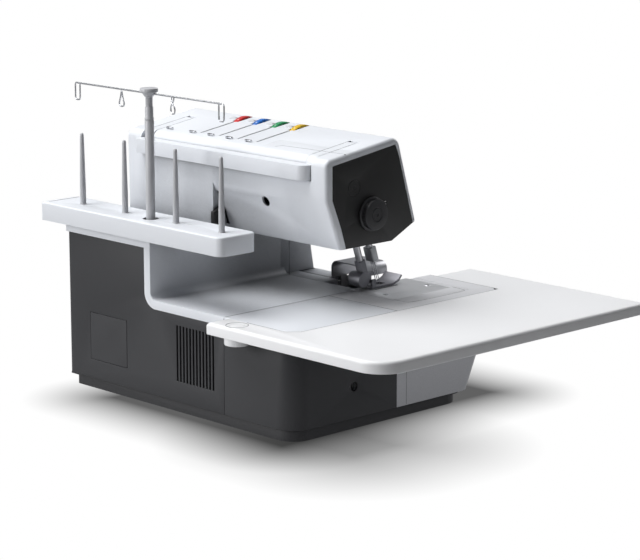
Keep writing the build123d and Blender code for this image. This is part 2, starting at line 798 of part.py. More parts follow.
with BuildPart() as arm_shell:
    add(arm_outside.part)
    add(arm_inside.part, mode=Mode.SUBTRACT)
    add(handle_room.part, mode=Mode.SUBTRACT)
    # Seat of the end plate
    with BuildSketch(Plane.YZ.offset(arm_left - 1)):
        with BuildLine():
            Polyline(*end_plate_profile, close=True)
        make_face()
    extrude(amount=plate_recess + 1, mode=Mode.SUBTRACT)
    # Openings for the column and for the needle and presser bars
    low = (column_left + wall, -5, ledge_height - 2)
    block(low, (arm_right - wall, column_back_seam - 2, ledge_height + wall + 1), Mode.SUBTRACT)
    block((-32, -45, ledge_height - 2), (-4, -5, ledge_height + 20), Mode.SUBTRACT)
    low = (lens_left, lens_front, ledge_height - 2)
    block(low, (lens_right, lens_back, ledge_height + wall + 1), Mode.SUBTRACT)
    # Slot of the foot lifter and the round access hole
    low = (lifter_slot_left, 60, lifter_slot_base)
    block(low, (lifter_slot_right, 100, lifter_slot_top), Mode.SUBTRACT)
    with BuildSketch(Plane.XZ.offset(-100)):
        with Locations((arm_hole_x, arm_hole_z)):
            Circle(arm_hole_radius)
    extrude(amount=30, mode=Mode.SUBTRACT)
    # Slots of the tension dials and the thread paths that lead to them
    for dial_x in dial_xs:
        half = dial_width / 2 + dial_slot_play
        room = dial_radius + dial_slot_play
        rod_x(dial_x - half, dial_x + half, dial_centre_y, dial_centre_z, room, Mode.SUBTRACT)
        half = thread_slot_width / 2
        low = (dial_x - half, thread_slot_front - 2 * wall, arm_top(thread_slot_back) - 2 * wall)
        block(low, (dial_x + half, thread_slot_back, arm_top_front + above_arm), Mode.SUBTRACT)
    # Holes of the handle's pivot pins
    for arm_x in handle_arm_xs:
        half = handle_arm_width / 2 + handle_play + wall + 1
        rod_x(arm_x - half, arm_x + half, handle_pivot_y, handle_pivot_z, handle_pin_radius, Mode.SUBTRACT)

with BuildPart() as front_region:
    for region_left, region_right, seam_y in (
        (arm_left - 1, top_seam_x, top_seam_y),
        (top_seam_x, arm_right + 1, top_seam_back_y),
    ):
        with BuildSketch(Plane.YZ.offset(region_left)):
            with BuildLine():
                Polyline(
                    (arm_front - 30, ledge_height - 10),
                    (bottom_seam_y, ledge_height - 10),
                    (bottom_seam_y, ledge_height + 25),
                    (seam_y, ledge_height + 60),
                    (seam_y, arm_top_front + 40),
                    (arm_front - 30, arm_top_front + 40),
                    close=True,
                )
            make_face()
        extrude(amount=region_right - region_left)

with BuildPart() as arm_front_cover:
    add(arm_shell.part)
    add(front_region.part, mode=Mode.INTERSECT)
write(arm_front_cover, "arm_front_cover")

with BuildPart() as arm_rear_cover:
    add(arm_shell.part)
    add(front_region.part, mode=Mode.SUBTRACT)
write(arm_rear_cover, "arm_rear_cover")

cap_y = 45.5
cap_z = 256.5
cap_radius = 9
cap_dot_radius = 0.8
knob_shaft_radius = 3
with BuildPart() as end_plate:
    with BuildSketch(Plane.YZ.offset(arm_left)) as end_loop:
        with BuildLine():
            Polyline(*end_plate_profile, close=True)
        make_face()
        offset(amount=-touch_gap / 2, mode=Mode.REPLACE)
        fillet(end_loop.vertices().sort_by_distance((*end_plate_profile[0], 0))[0], 4)
        fillet(end_loop.vertices().sort_by_distance((*end_plate_profile[1], 0))[0], 5)
    extrude(amount=arm_end_plate_thickness)
    rod_x(arm_left - 1, arm_left + 5, knob_y, knob_z, knob_shaft_radius + running_gap, Mode.SUBTRACT)
    rod_x(arm_left - 1, arm_left + 1.5, cap_y, cap_z, cap_radius, Mode.SUBTRACT)
write(end_plate, "end_plate")

with BuildPart() as end_plate_cap:
    rod_x(arm_left - 0.3, arm_left + 1.5, cap_y, cap_z, cap_radius - touch_gap)
    rod_x(arm_left - 1, arm_left, cap_y, cap_z, cap_dot_radius, Mode.SUBTRACT)
write(end_plate_cap, "end_plate_cap")

with BuildPart() as pressure_knob:
    rod_x(arm_left - knob_base_length, arm_left - touch_gap, knob_y, knob_z, knob_radius)
    rod_x(arm_left - knob_length, arm_left - knob_base_length, knob_y, knob_z, knob_grip_radius)
    fillet(pressure_knob.faces().sort_by(Axis.X)[0].edges(), 2)
    rod_x(arm_left - touch_gap, arm_left + 12, knob_y, knob_z, knob_shaft_radius)
write(pressure_knob, "pressure_knob")

with BuildPart() as led_lens:
    low = (lens_left + touch_gap, lens_front + touch_gap, ledge_height - 1)
    block(low, (lens_right - touch_gap, lens_back - touch_gap, ledge_height + wall))
write(led_lens, "led_lens")

# Thread guides along the top, and the tension units with their dials -------
guide_xs = [189, 149, 118, 87, 55]
guide_y = 67
with BuildPart() as top_thread_guides:
    for guide_x in guide_xs:
        guide_plane = Plane(
            origin=(guide_x + 6, guide_y, arm_top(guide_y)),
            x_dir=(1, 0, 0),
            z_dir=(0, math.sin(math.atan(arm_top_slope)), math.cos(math.atan(arm_top_slope))),
        )
        with BuildSketch(guide_plane):
            Rectangle(10, 3)
        extrude(amount=2.4)
    for arch in range(len(guide_xs)):
        low = (guide_xs[arch] + 3, guide_y - 4, arm_top(guide_y) - 1)
        block(low, (guide_xs[arch] + 9, guide_y + 4, arm_top(guide_y) + 1.2), Mode.SUBTRACT)
write(top_thread_guides, "top_thread_guides")

disc_radius = 7.5
with BuildPart() as tension_units:
    for dial_x in dial_xs:
        rod_x(dial_x - 7, dial_x + 12, dial_centre_y, dial_centre_z, dial_shaft_radius)
        rod_x(dial_x + 5.5, dial_x + 7, dial_centre_y, dial_centre_z, disc_radius)
        rod_x(dial_x + 8, dial_x + 9.5, dial_centre_y, dial_centre_z, disc_radius)
        block((dial_x + 9.5, dial_centre_y - 6, 262), (dial_x + 12, beam_front, 288))
write(tension_units, "tension_units")

for dial_x, colour in zip(dial_xs, dial_colours):
    with BuildPart() as tension_dial:
        rod_x(dial_x - dial_width / 2, dial_x + dial_width / 2, dial_centre_y, dial_centre_z, dial_radius)
        chamfer(tension_dial.edges().filter_by(GeomType.CIRCLE), 0.8)
        bore = dial_shaft_radius + running_gap
        rod_x(dial_x - dial_width, dial_x + dial_width, dial_centre_y, dial_centre_z, bore, Mode.SUBTRACT)
    write(tension_dial, "tension_dial_" + colour)

# Carry handle, folded flat along the arm's rear edge -----------------------
with BuildPart() as carry_handle:
    low = (handle_left, handle_front, handle_top - handle_height)
    block(low, (handle_right, handle_back, handle_top))
    back_corners = carry_handle.edges().filter_by(Axis.Z).group_by(Axis.Y)[-1].sort_by(Axis.X)
    fillet(back_corners[0], handle_corner)
    fillet(back_corners[-1], handle_end_corner)
    for arm_x in handle_arm_xs:
        with BuildSketch(Plane.YZ.offset(arm_x - handle_arm_width / 2)):
            with BuildLine():
                Polyline(
                    (handle_front - handle_round, handle_top + handle_round),
                    (handle_pivot_y, arm_top(handle_pivot_y)),
                    (handle_pivot_y, arm_top(handle_pivot_y) - 10),
                    (handle_front + 1, handle_top - handle_arm_depth - 2),
                    (handle_front + 1, handle_top),
                    (handle_front, handle_top),
                )
                RadiusArc(
                    (handle_front - handle_round, handle_top + handle_round),
                    (handle_front, handle_top),
                    handle_round,
                )
            make_face()
            with Locations((handle_pivot_y, handle_pivot_z)):
                Circle(handle_eye_radius)
        extrude(amount=handle_arm_width)
        half = handle_arm_width / 2 + 1
        bore = handle_pin_radius + running_gap
        rod_x(arm_x - half, arm_x + half, handle_pivot_y, handle_pivot_z, bore, Mode.SUBTRACT)
write(carry_handle, "carry_handle")

with BuildPart() as handle_pins:
    for arm_x in handle_arm_xs:
        half = handle_arm_width / 2 + handle_play + wall
        rod_x(arm_x - half, arm_x + half, handle_pivot_y, handle_pivot_z, handle_pin_radius)
write(handle_pins, "handle_pins")

# Thread stand --------------------------------------------------------------
mast_socket_radius = 9
with BuildPart() as stand_tray:
    block((tray_left, tray_front, ledge_height), (tray_right, tray_back, tray_top))
    fillet(stand_tray.edges().filter_by(Axis.Z).group_by(Axis.X)[0], tray_corner)
    fillet(stand_tray.edges().filter_by(Axis.Z).group_by(Axis.X)[-1], tray_end_corner)
    fillet(stand_tray.faces().sort_by(Axis.Z)[-1].edges(), 2)
    with BuildSketch(Plane.XY.offset(ledge_height)):
        with Locations(((tray_left + tray_right) / 2, (tray_front + tray_back) / 2)):
            RectangleRounded(tray_length - 2 * wall, tray_depth - 2 * wall, tray_corner - wall)
    extrude(amount=tray_height - wall, mode=Mode.SUBTRACT)
    for pin_x in pin_xs:
        rod_z(pin_x, pin_y, ledge_height, tray_top + 1, spool_pin_root_radius + running_gap, Mode.SUBTRACT)
    rod_z(mast_x, mast_y, ledge_height, tray_top + 1, mast_socket_radius, Mode.SUBTRACT)
write(stand_tray, "stand_tray")

with BuildPart() as stand_bracket:
    low = (tray_left + wall + 4, tray_front + wall + 3, ledge_height)
    block(low, (tray_right - wall - 4, tray_back - wall - 3, bracket_top))
    rod_z(mast_x, mast_y, bracket_top, tray_top - 3, mast_socket_radius - 0.2)
    rod_z(mast_x, mast_y, bracket_top, tray_top, mast_radius + running_gap, Mode.SUBTRACT)
write(stand_bracket, "stand_bracket")

pin_straight = 20
pin_end = tray_top + spool_pin_height
with BuildPart() as spool_pins:
    for pin_x in pin_xs:
        with BuildSketch(Plane.XZ.offset(-pin_y)):
            with BuildLine():
                Polyline(
                    (pin_x, bracket_top),
                    (pin_x + spool_pin_root_radius, bracket_top),
                    (pin_x + spool_pin_root_radius, tray_top),
                    (pin_x + spool_pin_radius, tray_top),
                    (pin_x + spool_pin_radius, tray_top + pin_straight),
                    (pin_x + spool_pin_tip_radius, pin_end - 1.5),
                    (pin_x + spool_pin_tip_radius - 1, pin_end),
                    (pin_x, pin_end),
                    close=True,
                )
            make_face()
        revolve(axis=Axis((pin_x, pin_y, 0), (0, 0, 1)))
write(spool_pins, "spool_pins")

mast_outer_top = tray_top + mast_outer_height
mast_middle_top = mast_outer_top + mast_middle_step
mast_top_end = mast_middle_top + mast_top_step
tube_play = 0.1
mast_middle_radius = mast_radius - mast_tube_wall - tube_play
mast_inner_radius = mast_middle_radius - mast_tube_wall - tube_play
with BuildPart() as mast_outer_tube:
    rod_z(mast_x, mast_y, bracket_top, mast_outer_top, mast_radius)
    rod_z(mast_x, mast_y, bracket_top - 1, mast_outer_top + 1, mast_middle_radius + tube_play, Mode.SUBTRACT)
write(mast_outer_tube, "mast_outer_tube")

with BuildPart() as mast_middle_tube:
    rod_z(mast_x, mast_y, bracket_top + 8, mast_middle_top, mast_middle_radius)
    rod_z(mast_x, mast_y, bracket_top, mast_middle_top + 1, mast_inner_radius + tube_play, Mode.SUBTRACT)
write(mast_middle_tube, "mast_middle_tube")

mast_cap_radius = 10
mast_cap_top = mast_top_end + mast_cap_height
guide_wire_radius = 1
guide_wire_z = mast_top_end + 2.2
with BuildPart() as mast_top_rod:
    rod_z(mast_x, mast_y, bracket_top + 12, mast_top_end, mast_inner_radius)
    with BuildSketch(Plane.XZ.offset(-mast_y)):
        with BuildLine():
            Polyline(
                (mast_x, mast_top_end - 2),
                (mast_x + mast_inner_radius + 0.5, mast_top_end - 2),
                (mast_x + mast_cap_radius - 0.5, mast_top_end + 1.5),
                (mast_x + mast_cap_radius, mast_cap_top - 1.5),
                (mast_x + mast_cap_radius - 1.5, mast_cap_top),
                (mast_x, mast_cap_top),
                close=True,
            )
        make_face()
    revolve(axis=Axis((mast_x, mast_y, 0), (0, 0, 1)))
    low_x = mast_x - mast_cap_radius - 1
    rod_x(low_x, mast_x + mast_cap_radius + 1, mast_y, guide_wire_z, guide_wire_radius, Mode.SUBTRACT)
write(mast_top_rod, "mast_top_rod")

loop_height = 20
loop_width = 10
loop_wire = 1.7
with BuildPart() as thread_guide_bar:
    rod_x(guide_loop_xs[-1], guide_loop_xs[0], mast_y, guide_wire_z, guide_wire_radius)
    for loop_x in guide_loop_xs:
        with BuildSketch(Plane.XZ.offset(-mast_y - loop_wire / 2)):
            with Locations((loop_x, guide_wire_z - (loop_height - loop_wire) / 2)):
                SlotOverall(loop_height, loop_width, rotation=90)
                offset(amount=-loop_wire, mode=Mode.SUBTRACT)
        extrude(amount=loop_wire)
write(thread_guide_bar, "thread_guide_bar")

# Extension table -----------------------------------------------------------
with BuildPart() as extension_table:
    with BuildSketch(Plane.XY.offset(table_base)) as table_loop:
        with Locations(((table_left + table_right) / 2, 0)):
            Rectangle(table_right_from_left, overall_depth)
        left_corners = table_loop.vertices().group_by(Axis.X)[0].sort_by(Axis.Y)
        right_corners = table_loop.vertices().group_by(Axis.X)[-1].sort_by(Axis.Y)
        fillet(left_corners[-1], table_corner)
        fillet(left_corners[0], table_front_corner)
        fillet(right_corners[-1], table_end_corner)
        fillet(right_corners[0], table_front_end_corner)
    extrude(amount=table_thickness)
    fillet(extension_table.faces().sort_by(Axis.Z)[-1].edges(), table_edge)
    fillet(extension_table.faces().sort_by(Axis.Z)[0].edges(), table_lower_edge)
    # Notch that the machine's base stands in
    with BuildSketch(Plane.XY.offset(table_base)) as table_notch:
        notch_right = table_right + table_edge
        with Locations(((table_inner_left + notch_right) / 2, (table_inner_front + table_inner_back) / 2)):
            Rectangle(notch_right - table_inner_left, table_inner_back - table_inner_front)
        notch_corners = table_notch.vertices().group_by(Axis.X)[0].sort_by(Axis.Y)
        fillet(notch_corners[-1], corner_radius + assembly_gap)
        fillet(notch_corners[0], front_left_corner + assembly_gap)
    extrude(amount=table_thickness, mode=Mode.SUBTRACT)
    with BuildSketch(Plane.XY.offset(table_base)):
        add(table_loop.sketch)
        add(table_notch.sketch, mode=Mode.SUBTRACT)
        offset(amount=-wall, mode=Mode.REPLACE)
    extrude(amount=table_thickness - wall, mode=Mode.SUBTRACT)
    for rib_x in range(3):
        rib = table_left + (rib_x + 1) * table_side_width / 4
        block((rib - 1, table_front + wall, table_base + 3), (rib + 1, table_back - wall, bed_height - wall))
    rod_z(catch_x, catch_y, table_base - 1, bed_height + 1, catch_radius + touch_gap, Mode.SUBTRACT)
write(extension_table, "extension_table")

with BuildPart() as table_catch:
    rod_z(catch_x, catch_y, table_base, bed_height, catch_radius)
    rod_z(catch_x, catch_y, table_base - catch_depth, table_base, catch_radius + 2)
    fillet(table_catch.faces().sort_by(Axis.Z)[0].edges(), 2)
write(table_catch, "table_catch")

# Drive: handwheel, main shaft, arm shaft, motor and belts ------------------
wheel_left = body_right + 2.5
wheel_width = 21
wheel_radius = 48
drive_pulley_radius = 30
timing_pulley_radius = 12
motor_pulley_radius = 10
drive_pulley_left = 208
drive_pulley_right = 218
timing_pulley_left = 223
timing_pulley_right = 232
pulley_width = 9
belt_gap = 0.3
belt_thickness = 2
with BuildPart() as main_shaft:
    rod_x(-62, wheel_left + 10, main_shaft_y, main_shaft_z, main_shaft_radius)
write(main_shaft, "main_shaft")

with BuildPart() as shaft_pulleys:
    rod_x(drive_pulley_left, drive_pulley_right, main_shaft_y, main_shaft_z, drive_pulley_radius)
    rod_x(timing_pulley_left, timing_pulley_right, main_shaft_y, main_shaft_z, timing_pulley_radius)
    left, right = drive_pulley_left - 1, timing_pulley_right + 1
    rod_x(left, right, main_shaft_y, main_shaft_z, main_shaft_radius, Mode.SUBTRACT)
write(shaft_pulleys, "shaft_pulleys")

with BuildPart() as handwheel:
    with BuildSketch(Plane.XY.offset(main_shaft_z)):
        with BuildLine():
            Polyline(
                (wheel_left, main_shaft_y),
                (wheel_left, main_shaft_y + wheel_radius - 4),
                (wheel_left + 4, main_shaft_y + wheel_radius),
                (wheel_left + wheel_width - 4, main_shaft_y + wheel_radius),
                (wheel_left + wheel_width, main_shaft_y + wheel_radius - 4),
                (wheel_left + wheel_width, main_shaft_y + wheel_radius - 9),
                (wheel_left + wheel_width - 6, main_shaft_y + 16),
                (wheel_left + wheel_width - 6, main_shaft_y),
                close=True,
            )
        make_face()
    revolve(axis=Axis((0, main_shaft_y, main_shaft_z), (1, 0, 0)))
    rod_x(wheel_left - 1, wheel_left + 10, main_shaft_y, main_shaft_z, main_shaft_radius, Mode.SUBTRACT)
write(handwheel, "handwheel")

with BuildPart() as arm_shaft:
    rod_x(-2, timing_pulley_right, arm_shaft_y, arm_shaft_z, arm_shaft_radius)
    rod_x(timing_pulley_left, timing_pulley_right, arm_shaft_y, arm_shaft_z, timing_pulley_radius)
    rod_x(-2, 6, arm_shaft_y, arm_shaft_z, 11)
write(arm_shaft, "arm_shaft")


def belt_section(pulleys, left):
    """Sketch a flat belt round two pulleys, each given as depth, height and radius."""
    with BuildSketch(Plane.YZ.offset(left)) as section:
        for pulley_y, pulley_z, radius in pulleys:
            with Locations((pulley_y, pulley_z)):
                Circle(radius + belt_gap + belt_thickness)
        make_hull()
        offset(amount=-belt_thickness, mode=Mode.SUBTRACT)
    return section.sketch


drive_pulleys = [
    (main_shaft_y, main_shaft_z, drive_pulley_radius),
    (motor_y, motor_z, motor_pulley_radius),
]
with BuildPart() as drive_belt:
    extrude(belt_section(drive_pulleys, drive_pulley_left + 1), amount=8)
write(drive_belt, "drive_belt")

timing_pulleys = [
    (main_shaft_y, main_shaft_z, timing_pulley_radius),
    (arm_shaft_y, arm_shaft_z, timing_pulley_radius),
]
with BuildPart() as timing_belt:
    extrude(belt_section(timing_pulleys, timing_pulley_left + 1), amount=7)
write(timing_belt, "timing_belt")

motor_length = 66
with BuildPart() as motor:
    rod_x(motor_plate_x - motor_length, motor_plate_x, motor_y, motor_z, motor_radius)
    fillet(motor.faces().sort_by(Axis.X)[0].edges(), 4)
    low_x = motor_plate_x - 20
    rod_x(low_x, motor_plate_x, motor_y, motor_z, motor_shaft_radius + running_gap, Mode.SUBTRACT)
write(motor, "motor")

with BuildPart() as motor_shaft:
    rod_x(motor_plate_x - 18, drive_pulley_right + 2, motor_y, motor_z, motor_shaft_radius)
    rod_x(drive_pulley_left, drive_pulley_right, motor_y, motor_z, motor_pulley_radius)
write(motor_shaft, "motor_shaft")

# Needle bar, clamp and needles, on the slanted needle axis -----------------
clamp_low = 33
clamp_high = 49
bar_top = 163
needle_pitch = 3
needle_tip = 3
with BuildPart() as needle_bar:
    with BuildSketch(needle_plane.offset(clamp_high - 6)):
        Circle(needle_bar_radius)
    extrude(amount=bar_top - clamp_high + 6)
write(needle_bar, "needle_bar")

with BuildPart() as needle_bar_block:
    with BuildSketch(needle_plane.offset(118)):
        RectangleRounded(18, 14, 2)
    extrude(amount=12)
    with BuildSketch(needle_plane.offset(117)):
        Circle(needle_bar_radius)
    extrude(amount=14, mode=Mode.SUBTRACT)
write(needle_bar_block, "needle_bar_block")

needle_depth = 9
needle_shank_radius = 1
with BuildPart() as needle_clamp:
    with BuildSketch(needle_plane.offset(clamp_low)):
        RectangleRounded(13, 9, 1.5)
    extrude(amount=clamp_high - clamp_low)
    with BuildSketch(needle_plane.offset(clamp_high - 6)):
        Circle(needle_bar_radius)
    extrude(amount=7, mode=Mode.SUBTRACT)
    with BuildSketch(needle_plane.offset(clamp_low)):
        with GridLocations(needle_pitch, 1, 3, 1):
            Circle(needle_shank_radius)
    extrude(amount=needle_depth - 1, mode=Mode.SUBTRACT)
write(needle_clamp, "needle_clamp")

with BuildPart() as needles:
    with BuildSketch(needle_plane.offset(clamp_low - 6)):
        with GridLocations(needle_pitch, 1, 3, 1):
            Circle(needle_shank_radius)
    extrude(amount=needle_depth + 5)
    with BuildSketch(needle_plane.offset(needle_tip + 4)):
        with GridLocations(needle_pitch, 1, 3, 1):
            Circle(0.5)
    extrude(amount=clamp_low - needle_tip - 10)
    for needle in (-needle_pitch, 0, needle_pitch):
        with BuildSketch(needle_plane.offset(needle_tip + 4)):
            with Locations((needle, 0)):
                Circle(0.5)
        with BuildSketch(needle_plane.offset(needle_tip)):
            with Locations((needle, 0)):
                Circle(0.1)
        loft()
write(needles, "needles")

# Presser bar, its holder and the toe-hinged foot ---------------------------
holder_low = 7
holder_high = 34
foot_left = presser_x - foot_width / 2
foot_right = presser_x + foot_width / 2
sole_bottom = bed_height + 0.3
sole_top = sole_bottom + 2.4
foot_pivot_y = presser_y - 1
foot_pivot_z = sole_top + 5
foot_pin_radius = 1.5
foot_toe_y = foot_pivot_y - foot_length
lifting_bracket_y = -11
lifting_bracket_z = lifter_z + 6
with BuildPart() as presser_bar:
    with BuildSketch(presser_plane.offset(holder_high - 8)):
        Circle(presser_bar_radius)
        Circle(presser_bar_bore, mode=Mode.SUBTRACT)
    extrude(amount=bar_top - holder_high + 8)
    # Lifting bracket that reaches back over the lifter's finger
    low = (presser_x - 5, lifting_bracket_y, lifting_bracket_z)
    block(low, (presser_x + 12, lifting_bracket_y + 13, lifting_bracket_z + 4))
    low = (presser_x + 4, lifting_bracket_y, lifting_bracket_z)
    block(low, (presser_x + 12, lifter_y + 17, lifting_bracket_z + 4))
write(presser_bar, "presser_bar")

with BuildPart() as foot_holder:
    with BuildSketch(presser_plane.offset(holder_low + 3)):
        RectangleRounded(10, 9, 1.5)
    extrude(amount=holder_high - holder_low - 3)
    with BuildSketch(presser_plane.offset(holder_high - 8)):
        Circle(presser_bar_radius)
    extrude(amount=9, mode=Mode.SUBTRACT)
    # Web that reaches down to the hinge pin, and the rounded heel housing
    low = (presser_x - 4, foot_pivot_y - 3.5, foot_pivot_z - 3)
    block(low, (presser_x + 4, foot_pivot_y + 3.5, foot_pivot_z + 9))
    low = (presser_x - 4, foot_pivot_y + 3, foot_pivot_z)
    block(low, (presser_x + 4, foot_pivot_y + 9, foot_pivot_z + 8))
    with BuildSketch(Plane.YZ.offset(foot_left + 3)):
        with Locations((foot_pivot_y + 14, foot_pivot_z + 4)):
            Circle(8.5)
    extrude(amount=foot_width - 8)
    rod_x(foot_left + 1, foot_right - 1, foot_pivot_y, foot_pivot_z, foot_pin_radius)
write(foot_holder, "foot_holder")

with BuildPart() as presser_foot:
    with BuildSketch(Plane.YZ.offset(foot_left)):
        with BuildLine():
            Polyline(
                (foot_pivot_y + 5, sole_bottom + 1.2),
                (foot_pivot_y, sole_bottom),
                (foot_toe_y + 14, sole_bottom),
                (foot_toe_y + 5, sole_bottom + 3),
                (foot_toe_y, sole_bottom + 9),
                (foot_toe_y + 1.5, sole_bottom + 10.5),
                (foot_toe_y + 6.5, sole_bottom + 5.5),
                (foot_toe_y + 14, sole_top),
                (foot_pivot_y + 5, sole_top),
                close=True,
            )
        make_face()
    extrude(amount=foot_width)
    for ear_left in (foot_left + 1, foot_right - 4):
        low = (ear_left, foot_pivot_y - 3, sole_top - 0.5)
        block(low, (ear_left + 3, foot_pivot_y + 3, foot_pivot_z + 3))
        low_x = ear_left - 1
        rod_x(low_x, ear_left + 4, foot_pivot_y, foot_pivot_z, foot_pin_radius + running_gap, Mode.SUBTRACT)
    low = (needle_slot[0] - 1, needle_slot[2] - 2, sole_bottom - 1)
    block(low, (needle_slot[1] + 1, needle_slot[3] + 2, sole_top + 1), Mode.SUBTRACT)
write(presser_foot, "presser_foot")

# Foot lifter: shaft, rear lever and the finger that raises the bar ---------
lever_tip_y = arm_back + 4
with BuildPart() as foot_lifter:
    rod_x(presser_x + 4, lifter_slot_right - 1, lifter_y, lifter_z, lifter_radius)
    with BuildSketch(Plane.YZ.offset(lifter_slot_left + 1)):
        with BuildLine():
            Polyline(
                (lifter_y - 5, lifter_z - 4),
                (lifter_y - 5, lifter_z + 4),
                (lifter_y + 5, lifter_z + 5),
                (lever_tip_y - 14, lifter_z - 7),
                (lever_tip_y, lifter_z - 12),
                (lever_tip_y, lifter_z - 27),
                (lever_tip_y - 7, lifter_z - 27),
                (lever_tip_y - 10, lifter_z - 17),
                (lifter_y + 5, lifter_z - 5),
                close=True,
            )
        make_face()
    extrude(amount=lifter_slot_right - lifter_slot_left - 2)
    with BuildSketch(Plane.YZ.offset(presser_x + 4)):
        with BuildLine():
            Polyline(
                (lifter_y, lifter_z + 3.8),
                (lifter_y + 15, lifter_z + 5.3),
                (lifter_y + 16.5, lifter_z + 2.5),
                (lifter_y, lifter_z - 3.8),
                close=True,
            )
        make_face()
    extrude(amount=7)
write(foot_lifter, "foot_lifter")

# Looper and feed ----------------------------------------------------------
with BuildPart() as looper:
    with BuildSketch(Plane.XZ.offset(26)):
        with Locations((looper_x, looper_z)):
            Circle(looper_radius)
    extrude(amount=38)
    block((looper_x - 5, -63, looper_z - 6), (looper_x + 5, -56, looper_z + 30))
    block((looper_x - 3, -61, looper_z + 30), (looper_x + 3, -58, looper_z + 42))
    with BuildSketch(Plane.XZ.offset(58)):
        with BuildLine():
            Polyline(
                (looper_x + 3, looper_z + 38),
                (looper_x + 3, looper_z + 42),
                (looper_x - 20, looper_z + 42),
                (looper_x - 33, looper_z + 40.5),
                (looper_x - 20, looper_z + 39),
                close=True,
            )
        make_face()
    extrude(amount=3)
write(looper, "looper")

feed_base = rim_base - 3
with BuildPart() as feed_dog:
    block((-34, -36, feed_base), (-12, 18, feed_base + 4))
    left, right, front, back = left_feed_bar
    block((left, front, feed_base), (right, -35, feed_base + 4))
    for left, right, front, back in (left_feed_bar, rear_feed_bar):
        block((left, front, feed_base + 3), (right, back, bed_height - 1))
        tooth_count = int((back - front) / 2)
        for tooth in range(tooth_count):
            tooth_front = front + 2 * tooth
            block((left, tooth_front, bed_height - 1), (right, tooth_front + 1, bed_height - 0.1))
write(feed_dog, "feed_dog")

# Electrics -----------------------------------------------------------------
with BuildPart() as control_board:
    block((20, 80, board_top), (110, 145, board_top + 1.6))
    block((40, 95, board_top + 1.6), (62, 120, board_top + 12))
    rod_z(85, 110, board_top + 1.6, board_top + 18, 8)
write(control_board, "control_board")

socket_depth = 22
rocker_gap = 0.5
rocker_proud = 2
rocker_axle_x = body_right - 3
rocker_axle_radius = 1
with BuildPart() as power_inlet:
    low = (body_right - socket_depth, inlet_y - inlet_width / 2, inlet_z - inlet_height / 2)
    block(low, (body_right + 0.5, inlet_y + inlet_width / 2, inlet_z + inlet_height / 2))
    low = (body_right - socket_depth + wall, inlet_y - inlet_width / 2 + 3, inlet_z - inlet_height / 2 + 3)
    block(low, (body_right + 1, inlet_y + inlet_width / 2 - 3, inlet_z + inlet_height / 2 - 3), Mode.SUBTRACT)
    for pin_offset in (-5, 5):
        low_x = body_right - socket_depth + wall
        rod_x(low_x, body_right - 4, inlet_y + pin_offset, inlet_z, 1.2)
    # Switch housing, on the same moulding
    low = (body_right - 16, switch_y - switch_width / 2, inlet_z - switch_height / 2)
    block(low, (body_right, switch_y + switch_width / 2, inlet_z + switch_height / 2))
    cavity_width = switch_width / 2 - 1.5
    cavity_height = switch_height / 2 - 1.5
    low = (body_right - 10, switch_y - cavity_width, inlet_z - cavity_height)
    block(low, (body_right + 1, switch_y + cavity_width, inlet_z + cavity_height), Mode.SUBTRACT)
    with BuildSketch(Plane.XZ.offset(-switch_y - switch_width / 2 + 0.5)):
        with Locations((rocker_axle_x, inlet_z)):
            Circle(rocker_axle_radius + running_gap)
    extrude(amount=switch_width - 1, mode=Mode.SUBTRACT)
    low = (body_right - 16, inlet_y + inlet_width / 2, inlet_z - 7)
    block(low, (body_right - wall - 1, switch_y - switch_width / 2, inlet_z + 7))
write(power_inlet, "power_inlet")

with BuildPart() as power_switch:
    half_width = switch_width / 2 - 1.5 - rocker_gap
    half_height = switch_height / 2 - 1.5 - 3 * rocker_gap
    low = (body_right - 6, switch_y - half_width, inlet_z - half_height)
    block(low, (body_right + rocker_proud, switch_y + half_width, inlet_z + half_height))
    with BuildSketch(Plane.XZ.offset(-switch_y - switch_width / 2 + 0.8)):
        with Locations((rocker_axle_x, inlet_z)):
            Circle(rocker_axle_radius)
    extrude(amount=switch_width - 1.6)
write(power_switch, "power_switch")

for dial_z, name in ((length_dial_z, "stitch_length_dial"), (differential_dial_z, "differential_feed_dial")):
    with BuildPart() as stitch_dial:
        rod_x(body_right + touch_gap, body_right + 12, stitch_dial_y, dial_z, stitch_dial_radius)
        fillet(stitch_dial.faces().sort_by(Axis.X)[-1].edges(), 1.5)
        rod_x(body_right - 12, body_right + touch_gap, stitch_dial_y, dial_z, stitch_dial_shaft_radius)
    write(stitch_dial, name)
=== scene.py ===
import logging
import math
from dataclasses import dataclass
from enum import Enum
from typing import Iterable, Sequence

import bmesh
import bpy
from mathutils import Matrix, Vector


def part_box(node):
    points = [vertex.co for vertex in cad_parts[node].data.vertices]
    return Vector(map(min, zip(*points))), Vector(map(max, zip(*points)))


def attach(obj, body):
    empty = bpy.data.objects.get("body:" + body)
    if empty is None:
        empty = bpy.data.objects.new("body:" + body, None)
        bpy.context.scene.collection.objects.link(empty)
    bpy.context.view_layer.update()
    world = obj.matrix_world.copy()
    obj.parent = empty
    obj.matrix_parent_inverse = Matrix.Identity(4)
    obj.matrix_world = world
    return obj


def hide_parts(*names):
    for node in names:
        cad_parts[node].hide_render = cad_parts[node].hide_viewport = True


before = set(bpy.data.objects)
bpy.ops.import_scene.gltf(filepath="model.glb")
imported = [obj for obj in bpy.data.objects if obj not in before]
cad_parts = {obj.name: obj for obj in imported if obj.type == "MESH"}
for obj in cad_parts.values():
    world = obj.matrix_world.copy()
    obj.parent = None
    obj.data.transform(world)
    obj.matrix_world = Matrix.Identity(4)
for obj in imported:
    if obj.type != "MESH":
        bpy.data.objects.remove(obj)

LOG = logging.getLogger("machine")
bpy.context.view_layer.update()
MM = 0.001
WELD = 1e-6  # Vertices closer than this are one vertex.
COARSE_BUMP = 0.0003  # Depth of a coarse grain's bump.
COLOURS = ("red", "blue", "green", "yellow")
Point = tuple[float, float, float]
Profile = Sequence[tuple[float, float]]
Tree = bpy.types.NodeTree
